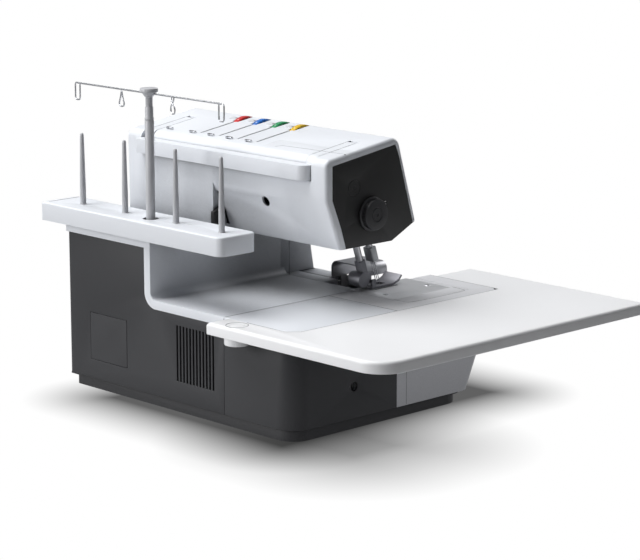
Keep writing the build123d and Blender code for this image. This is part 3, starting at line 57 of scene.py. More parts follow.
Node = bpy.types.Node
Socket = bpy.types.NodeSocket
Piece = bpy.types.Object
Mesh = bmesh.types.BMesh


class Axis(Enum):
    """The directions that turned pieces point in, each as a unit vector."""

    X = (1.0, 0.0, 0.0)
    MINUS_X = (-1.0, 0.0, 0.0)
    Z = (0.0, 0.0, 1.0)


class LoopShape(Enum):
    """How a thread loop hangs from the guide bar."""

    OBLONG = "oblong"
    TEARDROP = "teardrop"
    TWISTED = "twisted"


# Shader node groups --------------------------------------------------------


def new_group(name: str, inputs: dict[str, float], outputs: Sequence[str]) -> tuple[Tree, Node, Node]:
    """Start a shader node group whose outputs are all values.

    Args:
        name: The group's name.
        inputs: Each input's name and default value.
        outputs: The names of the outputs.

    Returns:
        The node tree, its input node and its output node.
    """
    tree = bpy.data.node_groups.new(name, "ShaderNodeTree")
    for label, value in inputs.items():
        socket = tree.interface.new_socket(label, in_out="INPUT", socket_type="NodeSocketFloat")
        socket.default_value = value
    for label in outputs:
        tree.interface.new_socket(label, in_out="OUTPUT", socket_type="NodeSocketFloat")
    return tree, tree.nodes.new("NodeGroupInput"), tree.nodes.new("NodeGroupOutput")


def feed(tree: Tree, slot: Socket, value: Socket | float | Sequence[float]) -> None:
    """Link a socket to an input, or set the input's own value.

    Args:
        tree: The tree that holds the input.
        slot: The input.
        value: A socket, a number or a colour.
    """
    if isinstance(value, Socket):
        tree.links.new(value, slot)
    else:
        slot.default_value = value


def maths(tree: Tree, operation: str, first: Socket | float, second: Socket | float) -> Socket:
    """Add a Math node.

    Args:
        tree: The tree that takes the node.
        operation: The operation's name.
        first: A socket or a number.
        second: A socket or a number.

    Returns:
        The node's output socket.
    """
    node = tree.nodes.new("ShaderNodeMath")
    node.operation = operation
    feed(tree, node.inputs[0], first)
    feed(tree, node.inputs[1], second)
    return node.outputs[0]


def noise(tree: Tree, scale: Socket | float, detail: float, stretch: Point = (1, 1, 1)) -> Socket:
    """Add a noise pattern on object coordinates.

    Args:
        tree: The tree that takes the nodes.
        scale: A socket or a number, in features per metre.
        detail: How many finer octaves it has.
        stretch: How much the pattern is squeezed along each axis.

    Returns:
        The pattern's value socket.
    """
    coordinates = tree.nodes.new("ShaderNodeTexCoord")
    mapping = tree.nodes.new("ShaderNodeMapping")
    mapping.inputs["Scale"].default_value = stretch
    pattern = tree.nodes.new("ShaderNodeTexNoise")
    pattern.inputs["Detail"].default_value = detail
    tree.links.new(coordinates.outputs["Object"], mapping.inputs["Vector"])
    tree.links.new(mapping.outputs[0], pattern.inputs["Vector"])
    feed(tree, pattern.inputs["Scale"], scale)
    return pattern.outputs[0]


def clamped(tree: Tree, value: Socket, gain: Socket) -> Socket:
    """Multiply a value by a gain and keep it between 0 and 1.

    Args:
        tree: The tree that takes the nodes.
        value: The value's socket.
        gain: The gain's socket.

    Returns:
        The result's socket.
    """
    node = tree.nodes.new("ShaderNodeClamp")
    tree.links.new(maths(tree, "MULTIPLY", value, gain), node.inputs[0])
    return node.outputs[0]


def moulded_grain_group() -> Tree:
    """The fine spark-eroded grain of moulded plastic, with slow changes of gloss.

    Returns:
        The group's tree.
    """
    inputs = {"Grain scale": 1500.0, "Roughness": 0.4, "Gloss change": 0.05}
    tree, given, made = new_group("Moulded grain", inputs, ("Height", "Roughness", "Shade"))
    fine = noise(tree, given.outputs["Grain scale"], 2.0)
    slow = noise(tree, 9.0, 3.0)
    swing = maths(tree, "SUBTRACT", slow, 0.5)
    gloss = maths(tree, "MULTIPLY", swing, given.outputs["Gloss change"])
    grain = maths(tree, "MULTIPLY", maths(tree, "SUBTRACT", fine, 0.5), given.outputs["Gloss change"])
    total = maths(tree, "ADD", maths(tree, "ADD", given.outputs["Roughness"], gloss), grain)
    tree.links.new(fine, made.inputs["Height"])
    tree.links.new(total, made.inputs["Roughness"])
    tree.links.new(slow, made.inputs["Shade"])
    return tree


def brushed_lines_group() -> Tree:
    """Fine lines left by grinding or polishing along one direction.

    Returns:
        The group's tree.
    """
    inputs = {"Roughness": 0.3, "Line depth": 0.2, "Along X": 0.0}
    tree, given, made = new_group("Brushed lines", inputs, ("Height", "Roughness", "Shade"))
    upright = noise(tree, 60.0, 3.0, (60, 60, 2))
    lying = noise(tree, 60.0, 3.0, (2, 60, 60))
    mix = tree.nodes.new("ShaderNodeMix")
    tree.links.new(given.outputs["Along X"], mix.inputs[0])
    tree.links.new(upright, mix.inputs[2])
    tree.links.new(lying, mix.inputs[3])
    lines = mix.outputs[0]
    swing = maths(tree, "MULTIPLY", maths(tree, "SUBTRACT", lines, 0.5), given.outputs["Line depth"])
    tree.links.new(lines, made.inputs["Height"])
    tree.links.new(maths(tree, "ADD", given.outputs["Roughness"], swing), made.inputs["Roughness"])
    tree.links.new(lines, made.inputs["Shade"])
    return tree


def edge_light_group() -> Tree:
    """A mask that is high on outward edges, where a highlight is painted into the colour.

    Returns:
        The group's tree.
    """
    # This group paints a highlight into the colour of outward edges.
    tree, given, made = new_group("Painted edge highlight", {"Start": 0.52, "Strength": 6.0}, ("Mask",))
    geometry = tree.nodes.new("ShaderNodeNewGeometry")
    above = maths(tree, "SUBTRACT", geometry.outputs["Pointiness"], given.outputs["Start"])
    tree.links.new(clamped(tree, above, given.outputs["Strength"]), made.inputs["Mask"])
    return tree


def corner_shade_group() -> Tree:
    """A mask that rises where neighbouring surfaces hem a surface in and keep light off it; it paints shade
    into the colour.

    Returns:
        The group's tree.
    """
    inputs = {"Reach": 0.14, "Start": 0.42, "Strength": 1.0}
    tree, given, made = new_group("Corner shade", inputs, ("Mask",))
    openness = tree.nodes.new("ShaderNodeAmbientOcclusion")
    openness.samples = 12
    tree.links.new(given.outputs["Reach"], openness.inputs["Distance"])
    closed = maths(tree, "SUBTRACT", 1.0, openness.outputs["AO"])
    above = maths(tree, "SUBTRACT", closed, given.outputs["Start"])
    tree.links.new(clamped(tree, above, given.outputs["Strength"]), made.inputs["Mask"])
    return tree


GRAIN = moulded_grain_group()
BRUSHED = brushed_lines_group()
EDGES = edge_light_group()
CORNERS = corner_shade_group()


def blank_material(name: str) -> tuple[bpy.types.Material, Tree, Node]:
    """Make a material with only its output and its principled shader.

    Args:
        name: The material's name.

    Returns:
        The material, its node tree and its shader node.
    """
    material = bpy.data.materials.new(name)
    material.use_nodes = True
    tree = material.node_tree
    return material, tree, tree.nodes["Principled BSDF"]


def place_group(tree: Tree, group: Tree, **values: float) -> Node:
    """Put a node group into a material.

    Args:
        tree: The material's tree.
        group: The group to place.
        **values: Input values, with underscores for the spaces in their names.

    Returns:
        The group's node.
    """
    node = tree.nodes.new("ShaderNodeGroup")
    node.node_tree = group
    for label, value in values.items():
        node.inputs[label.replace("_", " ")].default_value = value
    return node


def vary_colour(tree: Tree, factor: Socket, low: Socket | Sequence[float], high: Sequence[float]) -> Socket:
    """Mix two colours by a pattern.

    Args:
        tree: The material's tree.
        factor: The pattern's socket.
        low: The colour where the pattern is 0, as a socket or as numbers.
        high: The colour where it is 1.

    Returns:
        The colour socket.
    """
    mix = tree.nodes.new("ShaderNodeMix")
    mix.data_type = "RGBA"
    tree.links.new(factor, mix.inputs["Factor"])
    feed(tree, mix.inputs[6], low if isinstance(low, Socket) else (*low, 1))
    feed(tree, mix.inputs[7], (*high, 1))
    return mix.outputs[2]


def add_bump(tree: Tree, shader: Node, height: Socket, strength: float, distance: float) -> None:
    """Feed a height pattern into a shader's normal.

    Args:
        tree: The material's tree.
        shader: The shader node.
        height: The pattern's socket.
        strength: The bump's strength.
        distance: The bump's depth in metres.
    """
    bump = tree.nodes.new("ShaderNodeBump")
    bump.inputs["Strength"].default_value = strength
    bump.inputs["Distance"].default_value = distance
    tree.links.new(height, bump.inputs["Height"])
    tree.links.new(bump.outputs[0], shader.inputs["Normal"])


def grained_material(
    name: str, low: Sequence[float], high: Sequence[float], depth: float, **values: float
) -> bpy.types.Material:
    """Make a material whose colour, roughness and bump all follow the moulded grain.

    Args:
        name: The material's name.
        low: The colour where the pattern is 0.
        high: The colour where it is 1.
        depth: Strength of the grain's bump.
        **values: The grain's input values, as place_group takes them.

    Returns:
        The material.
    """
    material, tree, shader = blank_material(name)
    grain = place_group(tree, GRAIN, **values)
    tree.links.new(vary_colour(tree, grain.outputs["Shade"], low, high), shader.inputs["Base Color"])
    tree.links.new(grain.outputs["Roughness"], shader.inputs["Roughness"])
    add_bump(tree, shader, grain.outputs["Height"], depth, COARSE_BUMP)
    return material


@dataclass(frozen=True)
class Plastic:
    """A moulded plastic finish.

    Attributes:
        name: The material's name.
        colour: The colour, linear.
        roughness: The mean roughness.
        grain: Features of the grain per metre.
        depth: Strength of the grain's bump.
        shade: How much the colour changes slowly over the surface.
        corner_shade: How strongly the painted shade darkens hemmed-in surfaces.
        deep_share: The share of its colour that the darkest painted corner shade keeps.
        edge_gain: How much lighter the painted highlight on an edge is.
        edge_lift: What is added to an edge's colour for that painted highlight.
        edge_share: How far an edge goes towards that colour.
        specular: Strength of its reflection.
        bump_depth: Depth of the grain's bump.
    """

    name: str
    colour: Point
    roughness: float = 0.42
    grain: float = 2200.0
    depth: float = 0.05
    shade: float = 0.04
    corner_shade: float = 2.0
    deep_share: float = 0.12
    edge_gain: float = 1.12
    edge_lift: float = 0.012
    edge_share: float = 0.35
    specular: float = 0.45
    bump_depth: float = 0.0002

    def build(self) -> bpy.types.Material:
        """Make the material.

        Returns:
            The material.
        """
        material, tree, shader = blank_material(self.name)
        grain = place_group(tree, GRAIN, Grain_scale=self.grain, Roughness=self.roughness)
        low = [c * (1 - self.shade) for c in self.colour]
        colour = vary_colour(tree, grain.outputs["Shade"], low, self.colour)
        # Painted highlight: outward edges are lightened in the colour, standing in for light catching them.
        edge_highlight = place_group(tree, EDGES)
        edge = [min(1.0, c * self.edge_gain + self.edge_lift) for c in self.colour]
        mask = maths(tree, "MULTIPLY", edge_highlight.outputs["Mask"], self.edge_share)
        colour = vary_colour(tree, mask, colour, edge)
        # Painted shade: places hemmed in by neighbouring surfaces are darkened in the colour itself.
        corner = place_group(tree, CORNERS, Strength=self.corner_shade)
        deep = [c * self.deep_share for c in self.colour]
        colour = vary_colour(tree, corner.outputs["Mask"], colour, deep)
        tree.links.new(colour, shader.inputs["Base Color"])
        tree.links.new(grain.outputs["Roughness"], shader.inputs["Roughness"])
        shader.inputs["Specular IOR Level"].default_value = self.specular
        add_bump(tree, shader, grain.outputs["Height"], self.depth, self.bump_depth)
        return material


@dataclass(frozen=True)
class Metal:
    """A bare or plated metal finish.

    Attributes:
        name: The material's name.
        colour: The reflection's colour, linear.
        roughness: The mean roughness.
        lines: How deep its grinding lines are.
        along_x: True where the lines run along X.
        dark_share: The share of the colour that the darkest lines keep.
        depth: Strength of the lines' bump.
        bump_depth: Depth of that bump.
    """

    name: str
    colour: Point
    roughness: float = 0.3
    lines: float = 0.15
    along_x: bool = False
    dark_share: float = 0.86
    depth: float = 0.04
    bump_depth: float = 0.0001

    def build(self) -> bpy.types.Material:
        """Make the material.

        Returns:
            The material.
        """
        material, tree, shader = blank_material(self.name)
        values = {"Roughness": self.roughness, "Line_depth": self.lines, "Along_X": float(self.along_x)}
        lines = place_group(tree, BRUSHED, **values)
        low = [c * self.dark_share for c in self.colour]
        colour = vary_colour(tree, lines.outputs["Shade"], low, self.colour)
        tree.links.new(colour, shader.inputs["Base Color"])
        tree.links.new(lines.outputs["Roughness"], shader.inputs["Roughness"])
        shader.inputs["Metallic"].default_value = 1.0
        add_bump(tree, shader, lines.outputs["Height"], self.depth, self.bump_depth)
        return material


@dataclass(frozen=True)
class Rubber:
    """A matt rubber finish with a coarse, soft grain.

    Attributes:
        name: The material's name.
        colour: The colour, linear.
        depth: Strength of the grain's bump.
        pale_gain: How much lighter its palest places are.
        pale_lift: What is added to their colour.
    """

    name: str
    colour: Point
    depth: float = 0.15
    pale_gain: float = 1.5
    pale_lift: float = 0.004

    def build(self) -> bpy.types.Material:
        """Make the material.

        Returns:
            The material.
        """
        high = [c * self.pale_gain + self.pale_lift for c in self.colour]
        values = {"Grain_scale": 900.0, "Roughness": 0.82, "Gloss_change": 0.15}
        return grained_material(self.name, self.colour, high, self.depth, **values)


@dataclass(frozen=True)
class Lens:
    """The smooth, milky plastic of the lamp's lens.

    Attributes:
        name: The material's name.
        colour: The colour, linear.
        depth: Strength of the grain's bump.
        dark_share: The share of the colour that its darkest places keep.
    """

    name: str
    colour: Point
    depth: float = 0.2
    dark_share: float = 0.9

    def build(self) -> bpy.types.Material:
        """Make the material.

        Returns:
            The material.
        """
        low = [c * self.dark_share for c in self.colour]
        values = {"Grain_scale": 700.0, "Roughness": 0.25, "Gloss_change": 0.1}
        return grained_material(self.name, low, self.colour, self.depth, **values)


class Finishes:
    """Every finish of the machine, built once and looked up by the record's slot."""

    def __init__(self) -> None:
        """Build the materials."""
        white = (0.80, 0.825, 0.87)
        dark = (0.028, 0.0285, 0.032)
        plans = {
            "white_cover": Plastic("white moulding", white, 0.38),
            "white_table": Plastic("white table moulding", (0.90, 0.905, 0.92), 0.36),
            "grey_cover": Plastic("light grey moulding", (0.72, 0.725, 0.75), 0.42),
            "dark_cover": Plastic("dark grey moulding", dark, 0.5, 1700.0, 0.12, 0.10),
            "plinth": Plastic("plinth moulding", (0.026, 0.026, 0.029), 0.55, 1500.0, 0.14, 0.10),
            "black_plate": Plastic("black end plate", (0.0115, 0.0115, 0.012), 0.42, 1900.0, 0.10, 0.15),
            "knob": Plastic("black knob", (0.024, 0.024, 0.027), 0.45, 1700.0, 0.12, 0.15),
            "stand_grey": Plastic("grey stand moulding", (0.52, 0.525, 0.55), 0.34, 2400.0, 0.04),
            "steel": Metal("polished steel", (0.62, 0.62, 0.64), 0.28),
            "foot_metal": Metal("foot metal", (0.24, 0.24, 0.26), 0.52, 0.12),
            "seam_shade": Plastic("seam shade", (0.20, 0.20, 0.215), 0.6, 900.0, 0.02),
            "tab_grey": Plastic("pale tab", (0.62, 0.63, 0.66), 0.45, 1800.0, 0.03),
            "sheet_metal": Metal("satin sheet metal", (0.46, 0.46, 0.48), 0.38, 0.2, True),
            "casting": Metal("cast frame", (0.50, 0.51, 0.52), 0.55, 0.1),
            "rubber": Rubber("foot rubber", (0.012, 0.012, 0.012)),
            "belt": Rubber("belt rubber", (0.02, 0.02, 0.02)),
            "lens": Lens("lamp lens", (0.9, 0.9, 0.86)),
            "red_dial": Plastic("red dial", (0.62, 0.02, 0.02), 0.32, 2400.0, 0.03, 0.08),
            "blue_dial": Plastic("blue dial", (0.012, 0.15, 0.55), 0.32, 2400.0, 0.03, 0.08),
            "green_dial": Plastic("green dial", (0.02, 0.30, 0.11), 0.32, 2400.0, 0.03, 0.08),
            "yellow_dial": Plastic("yellow dial", (0.78, 0.50, 0.02), 0.32, 2400.0, 0.03, 0.08),
            "black_plastic": Plastic("black plastic", (0.02, 0.02, 0.021), 0.4, 1700.0, 0.10, 0.15),
            "board": Plastic("circuit board", (0.02, 0.16, 0.07), 0.35, 800.0, 0.10, 0.25),
            "motor_can": Metal("motor can", (0.30, 0.30, 0.32), 0.4, 0.2, True),
            "wheel": Plastic("handwheel moulding", (0.76, 0.785, 0.83), 0.36),
            "needle_plate": Metal("ground needle plate", (0.80, 0.80, 0.81), 0.42, 0.25, True),
            "mark_white": Plastic("printed white", (0.85, 0.85, 0.85), 0.5, 900.0, 0.02),
            "mark_dark": Plastic("printed dark", (0.05, 0.05, 0.055), 0.5, 900.0, 0.02),
            "chrome_wire": Metal("plated wire", (0.70, 0.71, 0.74), 0.2, 0.05, True),
        }
        self.made = {slot: plan.build() for slot, plan in plans.items()}

    def __getitem__(self, slot: str) -> bpy.types.Material:
        """Give the material of a slot."""
        return self.made[slot]


# Mesh tools ----------------------------------------------------------------


class Workshop:
    """Makes meshes with bmesh operators and puts them on the frame's bodies.

    Attributes:
        flat: Faces that meet at less than this angle are merged.
        corner: Edges bent more than this angle are rounded.
    """

    flat: float = math.radians(0.6)
    corner: float = math.radians(28)

    def __init__(self, finishes: Finishes) -> None:
        """Keep the finishes."""
        self.finishes = finishes

    def store(
        self, bm: Mesh, name: str, body: str, slot: str, finish: str = "", sharp: float = 32
    ) -> Piece:
        """Turn a bmesh into a finished piece on a body.

        Args:
            bm: The mesh, already in place. It is freed.
            name: The piece's name.
            body: The body it moves with.
            slot: The record's material slot.
            finish: The finish's name, where it isn't the slot's.
            sharp: Angle in degrees past which an edge stays sharp.

        Returns:
            The piece.
        """
        bmesh.ops.remove_doubles(bm, verts=bm.verts, dist=1e-7)
        bmesh.ops.recalc_face_normals(bm, faces=bm.faces)
        return self.store_raw(bm, name, body, slot, finish, sharp)

    def store_raw(self, bm: Mesh, name: str, body: str, slot: str, finish: str, sharp: float) -> Piece:
        """Store a bmesh whose normals are already right.

        Args:
            bm: The mesh, already in place. It is freed.
            name: The piece's name.
            body: The body it moves with.
            slot: The record's material slot.
            finish: The finish's name, or an empty string for the slot's own.
            sharp: Angle in degrees past which an edge stays sharp.

        Returns:
            The piece.
        """
        mesh = bpy.data.meshes.new(name)
        bm.to_mesh(mesh)
        bm.free()
        piece = bpy.data.objects.new(name, mesh)
        bpy.context.scene.collection.objects.link(piece)
        mesh.materials.append(self.finishes[finish or slot])
        mesh.shade_smooth()
        mesh.set_sharp_from_angle(angle=math.radians(sharp))
        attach(piece, body)
        LOG.info("%s rides on %s with %d faces", name, body, len(mesh.polygons))
        return piece

    def soften(
        self, node: str, body: str, slot: str, width: float, finish: str = "", segments: int = 3
    ) -> Piece:
        """Replace a CAD node by a merged copy whose edges are rounded.

        Args:
            node: The CAD node.
            body: The body it moves with.
            slot: The record's material slot.
            width: The rounding's size in metres.
            finish: The finish's name, where it isn't the slot's.
            segments: How many faces round the edge.

        Returns:
            The piece.
        """
        bm = bmesh.new()
        bm.from_mesh(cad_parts[node].data)
        bmesh.ops.remove_doubles(bm, verts=bm.verts, dist=WELD)
        bmesh.ops.dissolve_limit(bm, angle_limit=self.flat, verts=bm.verts, edges=bm.edges)
        edges = [e for e in bm.edges if len(e.link_faces) == 2 and e.calc_face_angle(0) > self.corner]
        bevel_all(bm, edges, width, segments, True)
        piece = self.store_raw(bm, node + "_shell", body, slot, finish, 40)
        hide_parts(node)
        return piece

    def turned(
        self,
        name: str,
        body: str,
        slot: str,
        centre: Point,
        axis: Axis,
        profile: Profile,
        steps: int = 48,
        finish: str = "",
        ribs: Sequence[Point] = (),
    ) -> Piece:
        """Make a turned piece by spinning a profile.

        Args:
            name: The piece's name.
            body: The body it moves with.
            slot: The record's material slot.
            centre: A point on the axis where the profile's height is 0.
            axis: The axis of turning.
            profile: Points of radius and height, from one end on the axis to the other.
            steps: How many faces go round.
            finish: The finish's name, where it isn't the slot's.
            ribs: For each ribbed band, its low and high end and the depth of its grooves.

        Returns:
            The piece.
        """
        bm = spun(profile, steps)
        for band in ribs:
            cut_ribs(bm, *band)
        turn = Vector((0, 0, 1)).rotation_difference(Vector(axis.value)).to_matrix().to_4x4()
        bmesh.ops.transform(bm, matrix=Matrix.Translation(centre) @ turn, verts=bm.verts)
        return self.store(bm, name, body, slot, finish)

    def dress(self, nodes: Iterable[str], finish: str) -> None:
        """Give CAD nodes that keep their own mesh a finish.

        Args:
            nodes: The nodes' names.
            finish: The finish's name.
        """
        for node in nodes:
            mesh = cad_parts[node].data
            if len(mesh.materials) == 0:
                mesh.materials.append(None)
            for index in range(len(mesh.materials)):
                mesh.materials[index] = self.finishes[finish]
            LOG.info("%s keeps its mesh and takes %s", node, finish)


def spun(profile: Profile, steps: int) -> Mesh:
    """Spin a profile a full turn about Z.

    Args:
        profile: Points of radius and height.
        steps: How many faces go round.

    Returns:
        The mesh.
    """
    bm = bmesh.new()
    verts = [bm.verts.new((radius, 0, height)) for radius, height in profile]
    edges = [bm.edges.new(pair) for pair in zip(verts, verts[1:])]
    bmesh.ops.spin(
        bm, geom=verts + edges, cent=(0, 0, 0), axis=(0, 0, 1), angle=2 * math.pi, steps=steps,
        use_merge=True, use_duplicate=False,
    )
    bmesh.ops.remove_doubles(bm, verts=bm.verts, dist=WELD)
    bmesh.ops.recalc_face_normals(bm, faces=bm.faces)
    return bm


def cut_ribs(bm: Mesh, low: float, high: float, depth: float) -> None:
    """Press grooves into every second face of a band round Z.

    Args:
        bm: A spun mesh.
        low: Height of the band's lower edge.
        high: Height of its upper edge.
        depth: Depth of the grooves.
    """
    margin, upright = 0.12, 0.5
    band = []
    for face in bm.faces:
        centre = face.calc_center_median()
        outward = face.normal.x * centre.x + face.normal.y * centre.y
        if low < centre.z < high and outward > 0 and abs(face.normal.z) < upright:
            band.append((math.atan2(centre.y, centre.x), face))
    band.sort(key=lambda pair: pair[0])
    for _, face in band[::2]:
        size = math.sqrt(face.calc_area())
        bmesh.ops.inset_individual(bm, faces=[face], thickness=size * margin, depth=-depth)


def rounded_box(low: Point, high: Point, width: float, segments: int = 3) -> Mesh:
    """Make a box with rounded edges.

    Args:
        low: Its lowest corner.
        high: Its highest corner.
        width: The rounding's size.
        segments: How many faces round an edge.

    Returns:
        The mesh.
    """
    bm = bmesh.new()
    size = Vector(high) - Vector(low)
    middle = (Vector(high) + Vector(low)) / 2
    place = Matrix.Translation(middle) @ Matrix.Diagonal((*size, 1))
    bmesh.ops.create_cube(bm, size=1, matrix=place)
    bevel_all(bm, bm.edges, width, segments)
    return bm


def bevel_all(
    bm: Mesh, edges: Iterable[bmesh.types.BMEdge], width: float, segments: int, clamp: bool = False
) -> None:
    """Round edges.

    Args:
        bm: The mesh.
        edges: The edges.
        width: The rounding's size.
        segments: How many faces round an edge.
        clamp: True where the rounding shrinks before it overlaps itself.
    """
    bmesh.ops.bevel(
        bm, geom=list(edges), offset=width, offset_type="OFFSET", affect="EDGES", segments=segments,
        profile=0.5, material=-1, clamp_overlap=clamp,
    )


def join_into(bm: Mesh, other: Mesh, place: Matrix | None = None) -> None:
    """Copy one bmesh into another and free the copy.

    Args:
        bm: The mesh that grows.
        other: The mesh that is added.
        place: Where it goes.
    """
    if place is not None:
        bmesh.ops.transform(other, matrix=place, verts=other.verts)
    mesh = bpy.data.meshes.new("part")
    other.to_mesh(mesh)
    other.free()
    bm.from_mesh(mesh)
    bpy.data.meshes.remove(mesh)


def curve_mesh(curve: bpy.types.Curve) -> Mesh:
    """Turn a curve into a mesh and remove the curve.

    Args:
        curve: The curve, with its thickness set.

    Returns:
        The mesh.
    """
    holder = bpy.data.objects.new(curve.name, curve)
    mesh = bpy.data.meshes.new_from_object(holder)
    bm = bmesh.new()
    bm.from_mesh(mesh)
    bpy.data.objects.remove(holder)
    bpy.data.curves.remove(curve)
    bpy.data.meshes.remove(mesh)
    return bm


def wire(points: Sequence[Point], radius: float, closed: bool, smooth: bool = True) -> Mesh:
    """Bend a round wire along points.

    Args:
        points: Where it goes.
        radius: The wire's radius.
        closed: True for a ring.
        smooth: True where the line curves between its points.

    Returns:
        The mesh.
    """
    curve = bpy.data.curves.new("wire", "CURVE")
    curve.dimensions = "3D"
    curve.bevel_depth = radius
    curve.bevel_resolution, curve.resolution_u = 3, 8
    curve.use_fill_caps = True
    line = curve.splines.new("NURBS" if smooth else "POLY")
    line.points.add(len(points) - 1)
    for point, place in zip(line.points, points):
        point.co = (*place, 1)
    line.use_cyclic_u = closed
    if smooth:
        line.order_u = 3
        line.use_endpoint_u = not closed
    return curve_mesh(curve)


def digits(text: str, height: float, thickness: float) -> Mesh:
    """Make plain numerals that stand on XY, centred on the origin.

    Args:
        text: The numerals.
        height: Their height.
        thickness: How far they stand proud.

    Returns:
        The mesh.
    """
    curve = bpy.data.curves.new("digits", "FONT")
    curve.body = text
    curve.size = height
    curve.extrude = thickness
    curve.align_x = "CENTER"
    curve.align_y = "CENTER"
    curve.resolution_u = 2
    return curve_mesh(curve)


# Sub-assemblies --------------------------------------------------------------


@dataclass
class Base:
    """The dark base: feet, plinth, rear and left covers, service door, inlet and switch.

    Attributes:
        edge: Rounding of the covers' edges.
        foot_radius: Radius of a rubber foot.
        foot_height: Height of a rubber foot.
        foot_steps: How many faces go round a foot.
    """

    edge: float = 0.9 * MM
    foot_radius: float = 10 * MM
    foot_height: float = 4 * MM
    foot_steps: int = 40

    def build(self, shop: Workshop) -> None:
        """Build every piece of the base.

        Args:
            shop: The workshop that stores the pieces.
        """
        shop.soften("base_pan", "machine", "plinth", self.edge)
        for node in ("rear_cover", "left_cover"):
            shop.soften(node, "machine", "dark_cover", self.edge)
        shop.soften("service_door", "machine", "dark_cover", 0.5 * MM)
        shop.soften("power_switch", "rocker", "black_plastic", 0.6 * MM)
        shop.soften("power_inlet", "machine", "black_plastic", 0.4 * MM)
        self.build_feet(shop)

    def build_feet(self, shop: Workshop) -> None:
        """Turn the four feet, each with a ground edge and a moulded recess in its sole.

        Args:
            shop: The workshop that stores the pieces.
        """
        low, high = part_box("rubber_feet")
        radius, height = self.foot_radius, self.foot_height
        profile = [
            (0, height), (radius - 1 * MM, height), (radius - 0.3 * MM, height - 0.5 * MM),
            (radius, height - 1.2 * MM), (radius - 0.4 * MM, 0.6 * MM), (radius - 1.2 * MM, 0),
            (radius * 0.5, 0), (radius * 0.45, 0.8 * MM), (0, 0.8 * MM),
        ]
        bm = bmesh.new()
        for x in (low.x + radius, high.x - radius):
            for y in (low.y + radius, high.y - radius):
                join_into(bm, spun(profile, self.foot_steps), Matrix.Translation((x, y, 0)))
        feet = shop.store(bm, "sole_pads", "machine", "rubber")
        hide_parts("rubber_feet")


@dataclass
class Bed:
    """The bed's covers, the needle plate with its screws, and the finger guard.

    Attributes:
        edge: Rounding of the covers' edges.
        screw_radius: Radius of a plate screw's head.
        screw_slot: Width of the slot across it.
        slot_depth: Depth of that slot.
        slot_turn: The slot's direction about Z, in radians.
    """

    edge: float = 0.9 * MM
    screw_radius: float = 3.5 * MM
    screw_slot: float = 0.9 * MM
    slot_depth: float = 0.8 * MM
    slot_turn: float = 0.6

    def build(self, shop: Workshop) -> None:
        """Build every piece of the bed.

        Args:
            shop: The workshop that stores the pieces.
        """
        for node in ("bed_cover", "left_bed_cover", "front_cover"):
            shop.soften(node, "machine", "white_cover", self.edge)
        shop.soften("front_left_cover", "machine", "grey_cover", self.edge)
        shop.soften("looper_cover", "looper_door", "white_cover", 0.6 * MM)
        shop.soften("needle_plate", "machine", "steel", 0.35 * MM, "needle_plate", 2)
        shop.soften("finger_guard", "machine", "sheet_metal", 0.35 * MM, "", 2)
        self.build_screws(shop)

    def build_screws(self, shop: Workshop) -> None:
        """Turn the two plate screws and cut a driver slot across each.

        Args:
            shop: The workshop that stores the pieces.
        """
        low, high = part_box("plate_screws")
        radius = self.screw_radius
        profile = [
            (0, -1.6 * MM), (radius * 0.8, -1.6 * MM), (radius, -0.8 * MM), (radius, -0.25 * MM),
            (radius - 0.3 * MM, 0), (0, 0),
        ]
        bm = bmesh.new()
        for x, y in ((low.x + radius, high.y - radius), (high.x - radius, low.y + radius)):
            head = spun(profile, 32)
            cut_slot(head, self.screw_slot, self.slot_depth, self.slot_turn)
            join_into(bm, head, Matrix.Translation((x, y, high.z)))
        screws = shop.store(bm, "plate_screw_heads", "machine", "steel")
        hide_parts("plate_screws")


def cut_slot(bm: Mesh, width: float, depth: float, turn: float) -> None:
    """Press a driver slot into the flat top of a turned head that lies at height 0.

    Args:
        bm: The head.
        width: The slot's width.
        depth: Its depth.
        turn: Its direction about Z, in radians.
    """
    across = Vector((math.cos(turn), math.sin(turn), 0))
    for side in (-1, 1):
        geometry = list(bm.verts) + list(bm.edges) + list(bm.faces)
        bmesh.ops.bisect_plane(bm, geom=geometry, plane_co=across * side * width / 2, plane_no=across)
    floor = [
        face
        for face in bm.faces
        if abs(face.calc_center_median().z) < WELD and abs(face.calc_center_median().dot(across)) < width / 2
    ]
    made = bmesh.ops.extrude_face_region(bm, geom=floor)
    verts = [item for item in made["geom"] if isinstance(item, bmesh.types.BMVert)]
    bmesh.ops.translate(bm, verts=verts, vec=(0, 0, -depth))
    bmesh.ops.delete(bm, geom=floor, context="FACES")


@dataclass(frozen=True)
class ArmTop:
    """The arm's sloping top plane.

    Attributes:
        front: Depth of its front edge.
        height: Its height there.
        slope: How fast it falls towards the back.
    """

    front: float = -22 * MM
    height: float = 306 * MM
    slope: float = 0.1445

    def at(self, y: float) -> float:
        """Give the plane's height at a depth."""
        return self.height - self.slope * (y - self.front)

    def place(self, x: float, y: float, lift: float = 0.0) -> Matrix:
        """Give the matrix that lays a flat piece on the plane."""
        tilt = Matrix.Rotation(-math.atan(self.slope), 4, "X")
        return Matrix.Translation((x, y, self.at(y) + lift)) @ tilt


TOP = ArmTop()


